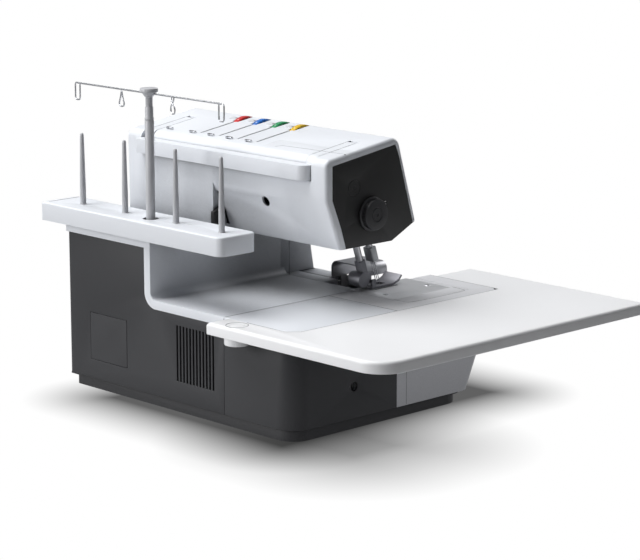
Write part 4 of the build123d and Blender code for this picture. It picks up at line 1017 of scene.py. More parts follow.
@dataclass
class Arm:
    """The arm's two shells, its black end plate, lamp and thread guides.

    Attributes:
        edge: Rounding of the shells' edges.
        slot_front: Depth where the thread slots start.
        slot_back: Depth where they end.
        slot_depth: How far the dark strip in a slot lies under the arm's top.
        floor_half: Half the width of the dark strip that paints shade in a slot.
        floor_thickness: Its thickness.
        prisms: How many prisms the lamp's lens has.
    """

    edge: float = 0.9 * MM
    slot_front: float = 22 * MM
    slot_back: float = 62.5 * MM
    slot_depth: float = 3.4 * MM
    floor_half: float = 2.4 * MM
    floor_thickness: float = 0.8 * MM
    prisms: int = 6

    def build(self, shop: Workshop) -> None:
        """Build every piece of the arm.

        Args:
            shop: The workshop that stores the pieces.
        """
        for node in ("arm_front_cover", "arm_rear_cover"):
            shop.soften(node, "machine", "white_cover", self.edge)
        shop.soften("end_plate", "machine", "black_plate", 0.7 * MM)
        self.build_lens(shop)
        self.build_cap(shop)
        shop.dress(["tension_units", "handle_pins"], "steel")
        shop.soften("top_thread_guides", "machine", "steel", 0.3 * MM, "chrome_wire", 2)
        self.build_slot_floors(shop)

    def build_slot_floors(self, shop: Workshop) -> None:
        """Lay a dark strip under each thread slot of the arm's top, painted shade for the slot's inside.

        Args:
            shop: The workshop that stores the pieces.
        """
        bm = bmesh.new()
        half, length = self.floor_half, (self.slot_back - self.slot_front) / 2
        for colour in COLOURS:
            low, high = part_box("tension_dial_" + colour)
            x = (low.x + high.x) / 2
            middle = TOP.place(x, (self.slot_back + self.slot_front) / 2, -self.slot_depth)
            strip = rounded_box((-half, -length, -self.floor_thickness), (half, length, 0), 0.2 * MM)
            join_into(bm, strip, middle)
        # Painted shade: the black strips stand in for the shade inside the slots.
        shop.store(bm, "thread_slot_shade_strips", "machine", "black_plate")

    def build_lens(self, shop: Workshop) -> None:
        """Mould the lamp's lens with a row of fine prisms along it.

        Args:
            shop: The workshop that stores the pieces.
        """
        low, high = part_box("led_lens")
        bm = rounded_box(low, high, 0.6 * MM)
        for index in range(1, self.prisms):
            x = low.x + (high.x - low.x) * index / self.prisms
            geometry = list(bm.verts) + list(bm.edges) + list(bm.faces)
            bmesh.ops.bisect_plane(bm, geom=geometry, plane_co=(x, 0, 0), plane_no=(1, 0, 0))
        downward, smallest = -0.9, 2e-6
        under = [f for f in bm.faces if f.normal.z < downward and f.calc_area() > smallest]
        bmesh.ops.inset_individual(bm, faces=under, thickness=0.4 * MM, depth=-0.3 * MM)
        lens = shop.store(bm, "lamp_lens", "machine", "lens")
        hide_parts("led_lens")

    def build_cap(self, shop: Workshop) -> None:
        """Turn the round cap over the end plate's screw, with its small centre dot.

        Args:
            shop: The workshop that stores the pieces.
        """
        low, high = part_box("end_plate_cap")
        radius = (high.z - low.z) / 2
        height = high.x - low.x
        profile = [
            (0, 0), (radius, 0), (radius, height - 0.4 * MM), (radius - 0.4 * MM, height),
            (radius * 0.35, height), (radius * 0.28, height - 0.5 * MM), (0, height - 0.5 * MM),
        ]
        centre = (high.x, (low.y + high.y) / 2, (low.z + high.z) / 2)
        cap = shop.turned("end_cap", "machine", "black_plate", centre, Axis.MINUS_X, profile)
        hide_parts("end_plate_cap")


@dataclass
class PressureKnob:
    """The ribbed knob on the end plate that sets the foot's pressure.

    Attributes:
        collar: Depth of the wide collar against the plate.
        shaft_length: How far the shaft goes in behind the plate.
        grip_inset: How much narrower the grip is than the collar.
        ribs: How many ribs go round the grip.
        rib_depth: Depth of the grooves between them.
        face_ring: Radius of the ring in its face.
        numeral: Height of the figure beside the knob.
    """

    collar: float = 2.7 * MM
    shaft_length: float = 12.3 * MM
    grip_inset: float = 1.9 * MM
    ribs: int = 44
    rib_depth: float = 0.6 * MM
    face_ring: float = 7.5 * MM
    numeral: float = 4.5 * MM

    def build(self, shop: Workshop) -> None:
        """Build the knob and the pointer mark beside it.

        Args:
            shop: The workshop that stores the pieces.
        """
        low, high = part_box("pressure_knob")
        centre = (high.x - self.shaft_length, (low.y + high.y) / 2, (low.z + high.z) / 2)
        wide = (high.y - low.y) / 2
        grip = wide - self.grip_inset
        reach = centre[0] - low.x
        profile = [
            (0, -(high.x - centre[0])), (5 * MM, -(high.x - centre[0])), (5 * MM, 0.02 * MM),
            (wide - 0.4 * MM, 0.02 * MM), (wide, 0.6 * MM), (wide, self.collar - 0.6 * MM),
            (wide - 0.7 * MM, self.collar), (grip, self.collar + 0.3 * MM),
            (grip, reach - 1.2 * MM), (grip - 0.5 * MM, reach - 0.4 * MM), (grip - 1.4 * MM, reach),
            (self.face_ring + 0.6 * MM, reach), (self.face_ring, reach - 0.7 * MM),
            (self.face_ring - 0.6 * MM, reach - 0.1 * MM), (2.2 * MM, reach - 0.1 * MM),
            (1.6 * MM, reach - 0.8 * MM), (0, reach - 0.8 * MM),
        ]
        band = (self.collar + 1 * MM, reach - 1.5 * MM, self.rib_depth)
        knob = shop.turned(
            "pressure_dial", "knob", "knob", centre, Axis.MINUS_X, profile, self.ribs * 2, ribs=[band]
        )
        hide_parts("pressure_knob")
        self.build_scale(shop, Vector(centre), wide)

    def build_scale(self, shop: Workshop, centre: Vector, wide: float) -> None:
        """Print the short scale beside the knob: a plain figure and two ticks.

        Args:
            shop: The workshop that stores the pieces.
            centre: The foot of the knob's axis.
            wide: The collar's radius.
        """
        bm = bmesh.new()
        face = Matrix.Rotation(math.radians(-90), 4, "Z") @ Matrix.Rotation(math.radians(90), 4, "X")
        plate_x = centre.x + 0.26 * MM
        spot = (plate_x, centre.y - wide - 5 * MM, centre.z + 2 * MM)
        join_into(bm, digits("1", self.numeral, 0.1 * MM), Matrix.Translation(spot) @ face)
        for rise in (7.5 * MM, 10.5 * MM):
            low = (plate_x - 0.08 * MM, centre.y - wide - 4.5 * MM, centre.z + rise)
            high = (plate_x + 0.1 * MM, centre.y - wide - 1.8 * MM, centre.z + rise + 0.7 * MM)
            join_into(bm, rounded_box(low, high, 0.05 * MM, 1))
        shop.store(bm, "pressure_scale", "machine", "white_cover", "mark_white")


@dataclass
class TensionDials:
    """The four coloured dials, each with a knurled rim and plain numbers.

    Attributes:
        radius: Radius of a dial.
        width: Width of its rim.
        numeral: Height of a rim number.
        steps: How many numbers go round.
        tab_size: Length, width and height of the tab beside a dial.
        tab_offset: How far it is to the right of the dial.
        bore: Radius of the hole for the dial's shaft.
        hub: Radius of the raised hub round it.
        knurls: How many faces go round the rim.
        knurl_depth: Depth of the knurls' grooves.
        first_turn: The direction of the number 0, in degrees.
    """

    radius: float = 26 * MM
    width: float = 8 * MM
    numeral: float = 4.2 * MM
    steps: int = 10
    tab_size: Point = (11 * MM, 7.5 * MM, 0.7 * MM)
    tab_offset: float = 12 * MM
    bore: float = 3.06 * MM
    hub: float = 6 * MM
    knurls: int = 120
    knurl_depth: float = 0.35 * MM
    first_turn: float = 8

    def build(self, shop: Workshop) -> None:
        """Build a dial for each thread.

        Args:
            shop: The workshop that stores the pieces.
        """
        for colour in COLOURS:
            node = "tension_dial_" + colour
            low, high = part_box(node)
            centre = (low + high) / 2
            self.build_wheel(shop, colour, node, centre)
            self.build_numbers(shop, colour, centre)
            self.build_tab(shop, colour, centre)

    def build_tab(self, shop: Workshop, colour: str, centre: Vector) -> None:
        """Raise the small pale tab beside a dial, with its dark pointer line.

        Args:
            shop: The workshop that stores the pieces.
            colour: The name of the dial's colour.
            centre: The middle of the dial.
        """
        length, width, height = self.tab_size
        middle = TOP.place(centre.x + self.tab_offset, 0)
        low, high = (-length / 2, -width / 2, -0.5 * MM), (length / 2, width / 2, height)
        tab = rounded_box(low, high, 0.3 * MM)
        bmesh.ops.transform(tab, matrix=middle, verts=tab.verts)
        shop.store(tab, colour + "_tab", "machine", "white_cover", "tab_grey")
        low = (-length / 2 + 0.8 * MM, -0.7 * MM, height - 0.05 * MM)
        high = (-length / 2 + 4 * MM, 0.7 * MM, height + 0.12 * MM)
        line = rounded_box(low, high, 0.05 * MM, 1)
        bmesh.ops.transform(line, matrix=middle, verts=line.verts)
        shop.store(line, colour + "_tab_line", "machine", "black_plastic", "mark_dark")

    def build_wheel(self, shop: Workshop, colour: str, node: str, centre: Vector) -> None:
        """Turn one dial and knurl the edges of its rim.

        Args:
            shop: The workshop that stores the pieces.
            colour: The name of the dial's colour.
            node: The CAD node that the dial replaces.
            centre: The middle of the dial.
        """
        half, radius = self.width / 2, self.radius
        side = [
            (self.bore, -half + 1.5 * MM), (self.hub, -half + 1.5 * MM),
            (self.hub + 1 * MM, -half + 0.4 * MM), (radius - 4 * MM, -half + 0.4 * MM),
            (radius - 3 * MM, -half), (radius - 1.3 * MM, -half),
            (radius - 0.4 * MM, -half + 0.4 * MM), (radius - 0.3 * MM, -half + 2 * MM),
        ]
        profile = side + [(r, -h) for r, h in reversed(side)]
        profile.append(side[0])
        near, far = half - 2 * MM, half - 0.4 * MM
        bands = [(-far, -near, self.knurl_depth), (near, far, self.knurl_depth)]
        name, body = colour + "_dial", "dial_" + colour
        wheel = shop.turned(name, body, name, centre, Axis.X, profile, self.knurls, ribs=bands)
        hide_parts(node)

    def build_numbers(self, shop: Workshop, colour: str, centre: Vector) -> None:
        """Print the numbers round the rim, upright when each is at the back of the slot.

        Args:
            shop: The workshop that stores the pieces.
            colour: The name of the dial's colour.
            centre: The middle of the dial.
        """
        bm = bmesh.new()
        reach = self.radius - 0.32 * MM
        for index in range(self.steps):
            angle = 2 * math.pi * index / self.steps + math.radians(self.first_turn)
            turn = Matrix.Rotation(angle, 4, "X")
            stand = Matrix.Translation((0, 0, reach)) @ Matrix.Rotation(math.pi, 4, "Z")
            place = Matrix.Translation(centre) @ turn @ stand
            join_into(bm, digits(str(index), self.numeral, 0.12 * MM), place)
        shop.store(bm, colour + "_dial_numbers", "dial_" + colour, "white_cover", "mark_white")


@dataclass
class CarryHandle:
    """The fold-down handle along the arm's rear edge.

    Attributes:
        edge: Rounding of its edges.
    """

    edge: float = 1.6 * MM

    def build(self, shop: Workshop) -> None:
        """Build the handle."""
        shop.soften("carry_handle", "handle", "white_cover", self.edge, "", 4)


@dataclass
class ThreadStand:
    """The spool tray, its pins, and the telescopic mast with the guide bar.

    Attributes:
        edge: Rounding of the tray's edges.
        pin_tip: Radius of a spool pin's tip.
        pin_body: Radius of its straight length.
        pin_root: Radius of its foot.
        cap_radius: Radius of the mast's mushroom cap.
        wire_radius: Radius of the guide bar.
        loop_wire: Radius of a loop's wire.
        loop_height: Height of a loop.
        loop_width: Its width.
        loop_xs: Where each loop hangs, from right to left.
        loops: The shape of each.
        inner_pins: Where the two inner spool pins stand.
        outer_bore: Radius of the lower tube's bore.
        middle_bore: Radius of the inner tube's bore.
        rod_radius: Radius of the top rod.
        steps: How many faces go round the mast.
    """

    edge: float = 1.0 * MM
    pin_tip: float = 2.1 * MM
    pin_body: float = 3.4 * MM
    pin_root: float = 3.8 * MM
    cap_radius: float = 10 * MM
    wire_radius: float = 1.0 * MM
    loop_wire: float = 0.85 * MM
    loop_height: float = 19.8 * MM
    loop_width: float = 10 * MM
    loop_xs: tuple[float, ...] = (240.5 * MM, 162.6 * MM, 75.8 * MM, -3.5 * MM)
    loops: tuple[LoopShape, ...] = (
        LoopShape.OBLONG, LoopShape.TEARDROP, LoopShape.TWISTED, LoopShape.OBLONG
    )
    inner_pins: tuple[float, float] = (162.8 * MM, 75.6 * MM)
    outer_bore: float = 4.65 * MM
    middle_bore: float = 4.02 * MM
    rod_radius: float = 3.9 * MM
    steps: int = 40

    def build(self, shop: Workshop) -> None:
        """Build every piece of the stand.

        Args:
            shop: The workshop that stores the pieces.
        """
        shop.soften("stand_tray", "machine", "white_cover", self.edge)
        shop.dress(["stand_bracket"], "sheet_metal")
        self.build_pins(shop)
        self.build_mast(shop)
        self.build_guide_bar(shop)

    def pin_places(self) -> list[tuple[float, float]]:
        """Give the X of each pin, from the tray's box, and their common Y.

        Returns:
            The X and Y of each pin.
        """
        low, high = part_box("spool_pins")
        right = high.x - self.pin_root
        left = low.x + self.pin_root
        y = (low.y + high.y) / 2
        return [(x, y) for x in (right, *self.inner_pins, left)]

    def build_pins(self, shop: Workshop) -> None:
        """Turn the four tapering pins with rounded tips and a small flange at the foot.

        Args:
            shop: The workshop that stores the pieces.
        """
        low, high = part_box("spool_pins")
        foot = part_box("stand_tray")[1].z
        profile = [
            (0, low.z), (self.pin_root, low.z), (self.pin_root, foot - 0.6 * MM),
            (self.pin_root, foot + 0.6 * MM), (self.pin_body, foot + 1.0 * MM),
            (self.pin_body, foot + 20 * MM), (self.pin_tip + 0.1 * MM, high.z - 3 * MM),
            (self.pin_tip, high.z - 1.6 * MM), (self.pin_tip * 0.82, high.z - 0.7 * MM),
            (self.pin_tip * 0.45, high.z - 0.15 * MM), (0, high.z),
        ]
        bm = bmesh.new()
        for x, y in self.pin_places():
            join_into(bm, spun(profile, 32), Matrix.Translation((x, y, 0)))
        pins = shop.store(bm, "spool_posts", "machine", "stand_grey")
        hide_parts("spool_pins")

    def build_mast(self, shop: Workshop) -> None:
        """Turn the two tubes with rolled collars, and the top rod with its mushroom cap.

        Args:
            shop: The workshop that stores the pieces.
        """
        low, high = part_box("mast_outer_tube")
        x, y = (low.x + high.x) / 2, (low.y + high.y) / 2
        outer = (high.x - low.x) / 2
        bore = self.outer_bore
        profile = [
            (bore, low.z), (outer, low.z), (outer, high.z - 4 * MM),
            (outer - 0.2 * MM, high.z - 3.6 * MM), (outer - 0.2 * MM, high.z - 3 * MM),
            (outer, high.z - 2.6 * MM), (outer, high.z - 0.6 * MM), (outer - 0.3 * MM, high.z),
            (bore, high.z), (bore, low.z),
        ]
        place = (x, y, 0)
        tube = shop.turned("mast_lower_tube", "machine", "stand_grey", place, Axis.Z, profile, self.steps)
        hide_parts("mast_outer_tube")
        low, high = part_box("mast_middle_tube")
        outer = (high.x - low.x) / 2
        bore = self.middle_bore
        profile = [
            (bore, low.z), (outer, low.z), (outer, high.z - 0.5 * MM), (outer - 0.3 * MM, high.z),
            (bore, high.z), (bore, low.z),
        ]
        tube = shop.turned(
            "mast_inner_tube", "mast_middle", "steel", place, Axis.Z, profile, self.steps, "stand_grey"
        )
        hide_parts("mast_middle_tube")
        low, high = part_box("mast_top_rod")
        rod, cap = self.rod_radius, self.cap_radius
        profile = [
            (0, low.z), (rod, low.z), (rod, high.z - 9.8 * MM), (rod + 1 * MM, high.z - 9.2 * MM),
            (cap - 3 * MM, high.z - 6.2 * MM), (cap - 0.8 * MM, high.z - 4.6 * MM),
            (cap, high.z - 3.8 * MM), (cap, high.z - 0.8 * MM),
            (cap - 0.3 * MM, high.z - 0.25 * MM), (cap - 0.9 * MM, high.z), (0, high.z),
        ]
        top = shop.turned("mast_cap_rod", "mast_top", "stand_grey", place, Axis.Z, profile, self.steps)
        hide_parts("mast_top_rod")

    def build_guide_bar(self, shop: Workshop) -> None:
        """Bend the guide bar's wire and hang its four thread loops.

        Args:
            shop: The workshop that stores the pieces.
        """
        low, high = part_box("thread_guide_bar")
        y = (low.y + high.y) / 2
        height = high.z - self.wire_radius
        tail = self.loop_width / 2
        ends = [(low.x + tail, y, height), (high.x - tail, y, height)]
        bm = wire(ends, self.wire_radius, False, False)
        for shape, x in zip(self.loops, self.loop_xs):
            points = self.loop_points(shape, x, y, height)
            join_into(bm, wire(points, self.loop_wire, shape is not LoopShape.TWISTED))
        bar = shop.store(bm, "thread_loops_bar", "mast_top", "steel", "chrome_wire", 60)
        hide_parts("thread_guide_bar")

    def loop_points(self, shape: LoopShape, x: float, y: float, top: float) -> list[Point]:
        """Give the control points of one loop.

        Args:
            shape: The loop's shape.
            x: The middle of the loop.
            y: Its plane.
            top: The bar's height.

        Returns:
            The points.
        """
        half = self.loop_width / 2 - self.loop_wire
        low = top - self.loop_height + self.loop_wire
        if shape is LoopShape.OBLONG:
            over, middle = top + 0.2 * MM, top - self.loop_height * 0.45
            left = [(x - half, y, z) for z in (over, middle, low)]
            right = [(x + half, y, z) for z in (low, middle, over)]
            return [(x, y, over), *left, (x, y, low), *right]
        if shape is LoopShape.TEARDROP:
            neck, belly = top - self.loop_height * 0.4, low + 3 * MM
            left = [(x - half * out, y, z) for out, z in ((0.35, neck), (1.1, belly), (0.8, low))]
            right = [(x + half * out, y, z) for out, z in ((0.8, low), (1.1, belly), (0.35, neck))]
            return [(x, y, top), *left, *right]
        out, cross = 0.7 * MM, top - self.loop_height * 0.55
        return [
            (x - half * 0.4, y, top), (x - half * 0.6, y, top - 4 * MM), (x + half, y - out, cross),
            (x + half * 0.9, y - out, low), (x - half * 0.9, y, low), (x - half, y + out, cross),
            (x + half * 0.6, y + out, top - 4 * MM), (x + half * 0.4, y, top),
        ]


@dataclass
class ExtensionTable:
    """The slide-on table and its round catch.

    Attributes:
        edge: Rounding of the table's edges.
        ring: Radius of the groove in the catch's button.
        recess: How far the catch's underside is lifted.
        button: Radius of the button.
        button_height: How far it stands above the catch's base.
    """

    edge: float = 1.8 * MM
    ring: float = 8 * MM
    recess: float = 6 * MM
    button: float = 12 * MM
    button_height: float = 13 * MM

    def build(self, shop: Workshop) -> None:
        """Build the table and the catch.

        Args:
            shop: The workshop that stores the pieces.
        """
        shop.soften("extension_table", "table", "white_table", self.edge, "", 4)
        low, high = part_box("table_catch")
        radius = (high.x - low.x) / 2
        centre = ((low.x + high.x) / 2, (low.y + high.y) / 2, 0)
        button = self.button
        shelf = high.z - self.button_height
        base = low.z + self.recess
        profile = [
            (0, base), (radius - 1.5 * MM, base), (radius - 0.4 * MM, base + 0.4 * MM),
            (radius, base + 1.5 * MM), (radius, shelf), (button, shelf),
            (button, high.z - 0.6 * MM), (button - 0.6 * MM, high.z),
            (self.ring + 0.5 * MM, high.z), (self.ring, high.z - 0.6 * MM),
            (self.ring - 0.5 * MM, high.z), (0, high.z),
        ]
        catch = shop.turned("round_catch", "table", "white_cover", centre, Axis.Z, profile, 64, "white_table")
        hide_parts("table_catch")


@dataclass
class SeamLines:
    """The fine dark gaps between the moulded covers and round the table, and a dark strip of painted shade on
    the stand's tray.

    Attributes:
        radius: Half the width of a gap.
        sunk: How far the middle of a gap lies under the surface.
        corner: The corner radius of the table's opening.
        column_offset: From the stand's bracket to the foot of the column.
        deck_y: Depth of the joint behind the deck.
        deck_rise: How far that joint climbs the column.
        recess_margin: How far the recess reaches left of the plate.
        recess_corner: Its corners' size.
        opening_run: How far the table's opening runs along the back.
        catch_ring: Radius of the line round the catch.
        handle_arm: Width of the carry handle's arms.
        handle_gap: Half the gap beside an arm.
        panel_rows: Along the end of the arm's top panel, steps in X and depths in Y.
        groove: Where the tray's strip of painted shade starts and ends, from the tray's right end.
    """

    radius: float = 0.36 * MM
    sunk: float = 0.2 * MM
    corner: float = 12 * MM
    column_offset: float = 114 * MM
    deck_y: float = -27 * MM
    deck_rise: float = 60 * MM
    recess_margin: float = 24 * MM
    recess_corner: float = 6 * MM
    opening_run: float = 70 * MM
    catch_ring: float = 12.1 * MM
    handle_arm: float = 13 * MM
    handle_gap: float = 0.45 * MM
    panel_rows: Profile = (
        (0, 58 * MM), (60 * MM, 60 * MM), (96 * MM, 62 * MM), (100 * MM, 68 * MM)
    )
    groove: tuple[float, float] = (7.5 * MM, 5 * MM)

    def build(self, shop: Workshop) -> None:
        """Build every line.

        Args:
            shop: The workshop that stores the pieces.
        """
        self.build_bed_lines(shop)
        self.build_table_lines(shop)
        self.build_arm_line(shop)
        self.build_tray_groove(shop)

    def lay(
        self, shop: Workshop, name: str, body: str, paths: Sequence[Sequence[Point]], smooth: bool = False
    ) -> None:
        """Lay thin lines along paths.

        Args:
            shop: The workshop.
            name: The piece's name.
            body: The body that it moves with.
            paths: The points of each line.
            smooth: True where the lines curve between their points.
        """
        bm = bmesh.new()
        for path in paths:
            join_into(bm, wire(path, self.radius, False, smooth))
        shop.store(bm, name, body, "white_cover", "seam_shade")

    def build_bed_lines(self, shop: Workshop) -> None:
        """Draw the joints of the bed's covers and the outline of the plate's recess.

        Args:
            shop: The workshop that stores the pieces.
        """
        low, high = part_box("left_bed_cover")
        plate_low, plate_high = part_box("needle_plate")
        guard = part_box("finger_guard")[1]
        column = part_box("stand_bracket")[0].x + self.column_offset
        top = high.z - self.sunk
        joint = high.x
        across = [
            (joint, plate_high.y, top), (joint, high.y - 2 * MM, top),
            (joint, high.y, top - 2 * MM), (joint, high.y, low.z),
        ]
        along = [(low.x, low.y, top), (joint, low.y, top)]
        y = self.deck_y
        deck = [(guard.x, y, top), (column, y, top), (column, y, top + self.deck_rise)]
        door = [(guard.x, guard.y - 1 * MM, top), (column + 20 * MM, guard.y - 1 * MM, top)]
        self.lay(shop, "bed_joints", "machine", [across, along, deck, door])
        left, size = plate_low.x - self.recess_margin, self.recess_corner
        front, back = plate_low.y - 3 * MM, plate_high.y + 1 * MM
        recess = [
            (plate_low.x, back, top), (left + size, back, top), (left, back - size, top),
            (left, front + size, top), (left + size, front, top), (plate_low.x, front, top),
        ]
        self.lay(shop, "plate_recess_line", "machine", [recess], True)
        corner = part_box("front_left_cover")[0]
        side = corner.x + self.sunk
        behind = low.y - 15 * MM
        upright = [(side, behind, low.z - 4 * MM), (side, behind, corner.z + 1 * MM)]
        self.lay(shop, "left_end_joint", "machine", [upright])

    def build_table_lines(self, shop: Workshop) -> None:
        """Draw the table's opening and the ring of its catch.

        Args:
            shop: The workshop that stores the pieces.
        """
        low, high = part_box("left_bed_cover")
        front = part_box("front_left_cover")[0].y
        top = high.z - self.sunk
        edge = low.x - self.radius
        opening = [
            (low.x + self.opening_run, high.y, top), (edge + self.corner, high.y, top),
            (edge, high.y - self.corner, top), (edge, front + self.corner / 2, top),
            (edge + self.corner / 2, front, top), (high.x, front, top),
        ]
        self.lay(shop, "table_opening_line", "table", [opening])
        catch_low, catch_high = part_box("table_catch")
        middle = (catch_low + catch_high) / 2
        reach = self.catch_ring
        turns = [math.tau * step / 24 for step in range(24)]
        ring = [(middle.x + reach * math.cos(a), middle.y + reach * math.sin(a), top) for a in turns]
        bm = wire(ring, self.radius, True)
        shop.store(bm, "table_catch_line", "table", "white_cover", "seam_shade")

    def build_arm_line(self, shop: Workshop) -> None:
        """Draw the joint of the arm's top panel across the rim of the left end.

        Args:
            shop: The workshop that stores the pieces.
        """
        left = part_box("arm_front_cover")[0].x + self.radius
        panel = [(left + step, y, TOP.at(y) - self.sunk) for step, y in self.panel_rows]
        low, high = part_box("carry_handle")
        arm, gap = self.handle_arm, self.handle_gap
        reach = (low.y + arm / 2, low.y + 2 * arm, low.y + 3.6 * arm)
        sides = [low.x - gap, low.x + arm + gap, high.x - arm - gap, high.x + gap]
        channels = [[(x, y, TOP.at(y) - self.sunk) for y in reach] for x in sides]
        self.lay(shop, "arm_top_joints", "machine", [panel, *channels])

    def build_tray_groove(self, shop: Workshop) -> None:
        """Lay a dark strip of painted shade across the right end of the stand's tray.

        Args:
            shop: The workshop that stores the pieces.
        """
        low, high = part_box("stand_tray")
        near, far = (high.x - step for step in self.groove)
        start, end = (near, low.y + 2 * MM, high.z - 1 * MM), (far, high.y - 7 * MM, high.z + 0.05 * MM)
        bm = rounded_box(start, end, 0.4 * MM)
        # Painted shade: the dark strip stands in for the shade at the tray's right end.
        shop.store(bm, "tray_shade_strip", "machine", "white_cover", "seam_shade")


@dataclass
class SewingHead:
    """Needle clamp with its needles, and the presser foot on its holder.

    Attributes:
        edge: Rounding of the holder's and the lifter's edges.
    """

    edge: float = 0.4 * MM

    def build(self, shop: Workshop) -> None:
        """Build every piece of the head.

        Args:
            shop: The workshop that stores the pieces.
        """
        shop.dress(["needle_bar", "needle_bar_block", "presser_bar"], "steel")
        # The lifter takes the black finish so that it reads as the shade in the step of the arm's rear face.
        shop.soften("foot_lifter", "lifter", "sheet_metal", self.edge, "black_plate")
        shop.soften("foot_holder", "presser_group", "steel", self.edge, "foot_metal", 2)
        shop.soften("presser_foot", "sole", "steel", 0.25 * MM, "foot_metal", 2)
        shop.soften("needle_clamp", "needle_group", "steel", 0.5 * MM, "casting", 2)
        shop.dress(["needles"], "chrome_wire")


@dataclass
class Drive:
    """The handwheel and the working parts inside the covers.

    Attributes:
        grips: How many finger grips go round the handwheel.
        grip_depth: Depth of the grooves between them.
        rim: Width of its rim.
        bore: Radius of the hole for the shaft.
        hub: Radius of its hub.
    """

    grips: int = 40
    grip_depth: float = 0.8 * MM
    rim: float = 10 * MM
    bore: float = 6.02 * MM
    hub: float = 14 * MM

    def build(self, shop: Workshop) -> None:
        """Build the handwheel and dress the parts inside.

        Args:
            shop: The workshop that stores the pieces.
        """
        self.build_handwheel(shop)
        shop.dress(["main_shaft", "arm_shaft", "motor_shaft", "looper", "feed_dog"], "steel")
        shop.dress(["main_frame"], "casting")
        shop.dress(["motor"], "motor_can")
        shop.dress(["drive_belt", "timing_belt"], "belt")
        shop.dress(["shaft_pulleys"], "black_plastic")
        shop.dress(["control_board"], "board")

    def build_handwheel(self, shop: Workshop) -> None:
        """Turn the handwheel with its dished face and finger grips.

        Args:
            shop: The workshop that stores the pieces.
        """
        low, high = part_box("handwheel")
        radius = (high.y - low.y) / 2
        centre = (low.x, (low.y + high.y) / 2, (low.z + high.z) / 2)
        width = high.x - low.x
        bore, hub = self.bore, self.hub
        profile = [
            (bore, 0), (hub, 0), (hub + 2 * MM, 3 * MM), (radius - self.rim, 4 * MM),
            (radius - self.rim + 2 * MM, 0.5 * MM), (radius - 1.5 * MM, 0.5 * MM),
            (radius - 0.3 * MM, 1.8 * MM), (radius - 0.3 * MM, width - 2.5 * MM),
            (radius - 2 * MM, width - 0.5 * MM), (radius - self.rim + 2 * MM, width - 0.5 * MM),
            (radius - self.rim, width - 4 * MM), (hub + 2 * MM, width - 5 * MM),
            (hub, width - 0.6 * MM), (hub - 1 * MM, width), (bore, width), (bore, 0),
        ]
        band = (2.5 * MM, width - 3 * MM, self.grip_depth)
        wheel = shop.turned(
            "hand_wheel", "main_drive", "wheel", centre, Axis.X, profile, self.grips * 2, ribs=[band]
        )
        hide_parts("handwheel")


@dataclass
class SideControls:
    """The two dials on the right side, each with a ribbed grip and a pointer ring.

    Attributes:
        ribs: How many ribs go round a grip.
        rib_depth: Depth of the grooves between them.
        face_x: Where the cover's face lies.
        shaft: Radius of a dial's shaft.
    """

    ribs: int = 28
    rib_depth: float = 0.5 * MM
    face_x: float = 252.3 * MM
    shaft: float = 4 * MM

    def build(self, shop: Workshop) -> None:
        """Build both dials.

        Args:
            shop: The workshop that stores the pieces.
        """
        dials = {"stitch_length_dial": "length_dial", "differential_feed_dial": "differential_dial"}
        for node, body in dials.items():
            low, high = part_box(node)
            radius = (high.y - low.y) / 2
            centre = (self.face_x, (low.y + high.y) / 2, (low.z + high.z) / 2)
            reach = high.x - centre[0]
            profile = [
                (0, low.x - centre[0]), (self.shaft, low.x - centre[0]), (self.shaft, 0),
                (radius - 0.4 * MM, 0), (radius, 0.5 * MM), (radius, 2.5 * MM),
                (radius - 1.2 * MM, 3.2 * MM), (radius - 1.2 * MM, reach - 1 * MM),
                (radius - 2.2 * MM, reach), (radius * 0.4, reach),
                (radius * 0.36, reach - 0.5 * MM), (0, reach - 0.5 * MM),
            ]
            band = (3.4 * MM, reach - 1.2 * MM, self.rib_depth)
            dial = shop.turned(
                node + "_grip", body, "black_plastic", centre, Axis.X, profile, self.ribs * 2, ribs=[band]
            )
            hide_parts(node)


@dataclass(frozen=True)
class ShadePatch:
    """The outline of a shadow painted on the floor, as if a rectangle above it kept light off.

    Attributes:
        centre: Its middle.
        half: Half its length, width and height.
        reach: How far past its outline the shade goes.
        depth: The share of light lost inside the outline.
        curve: The power of the fade.
    """

    centre: Point
    half: Point
    reach: float
    depth: float
    curve: float


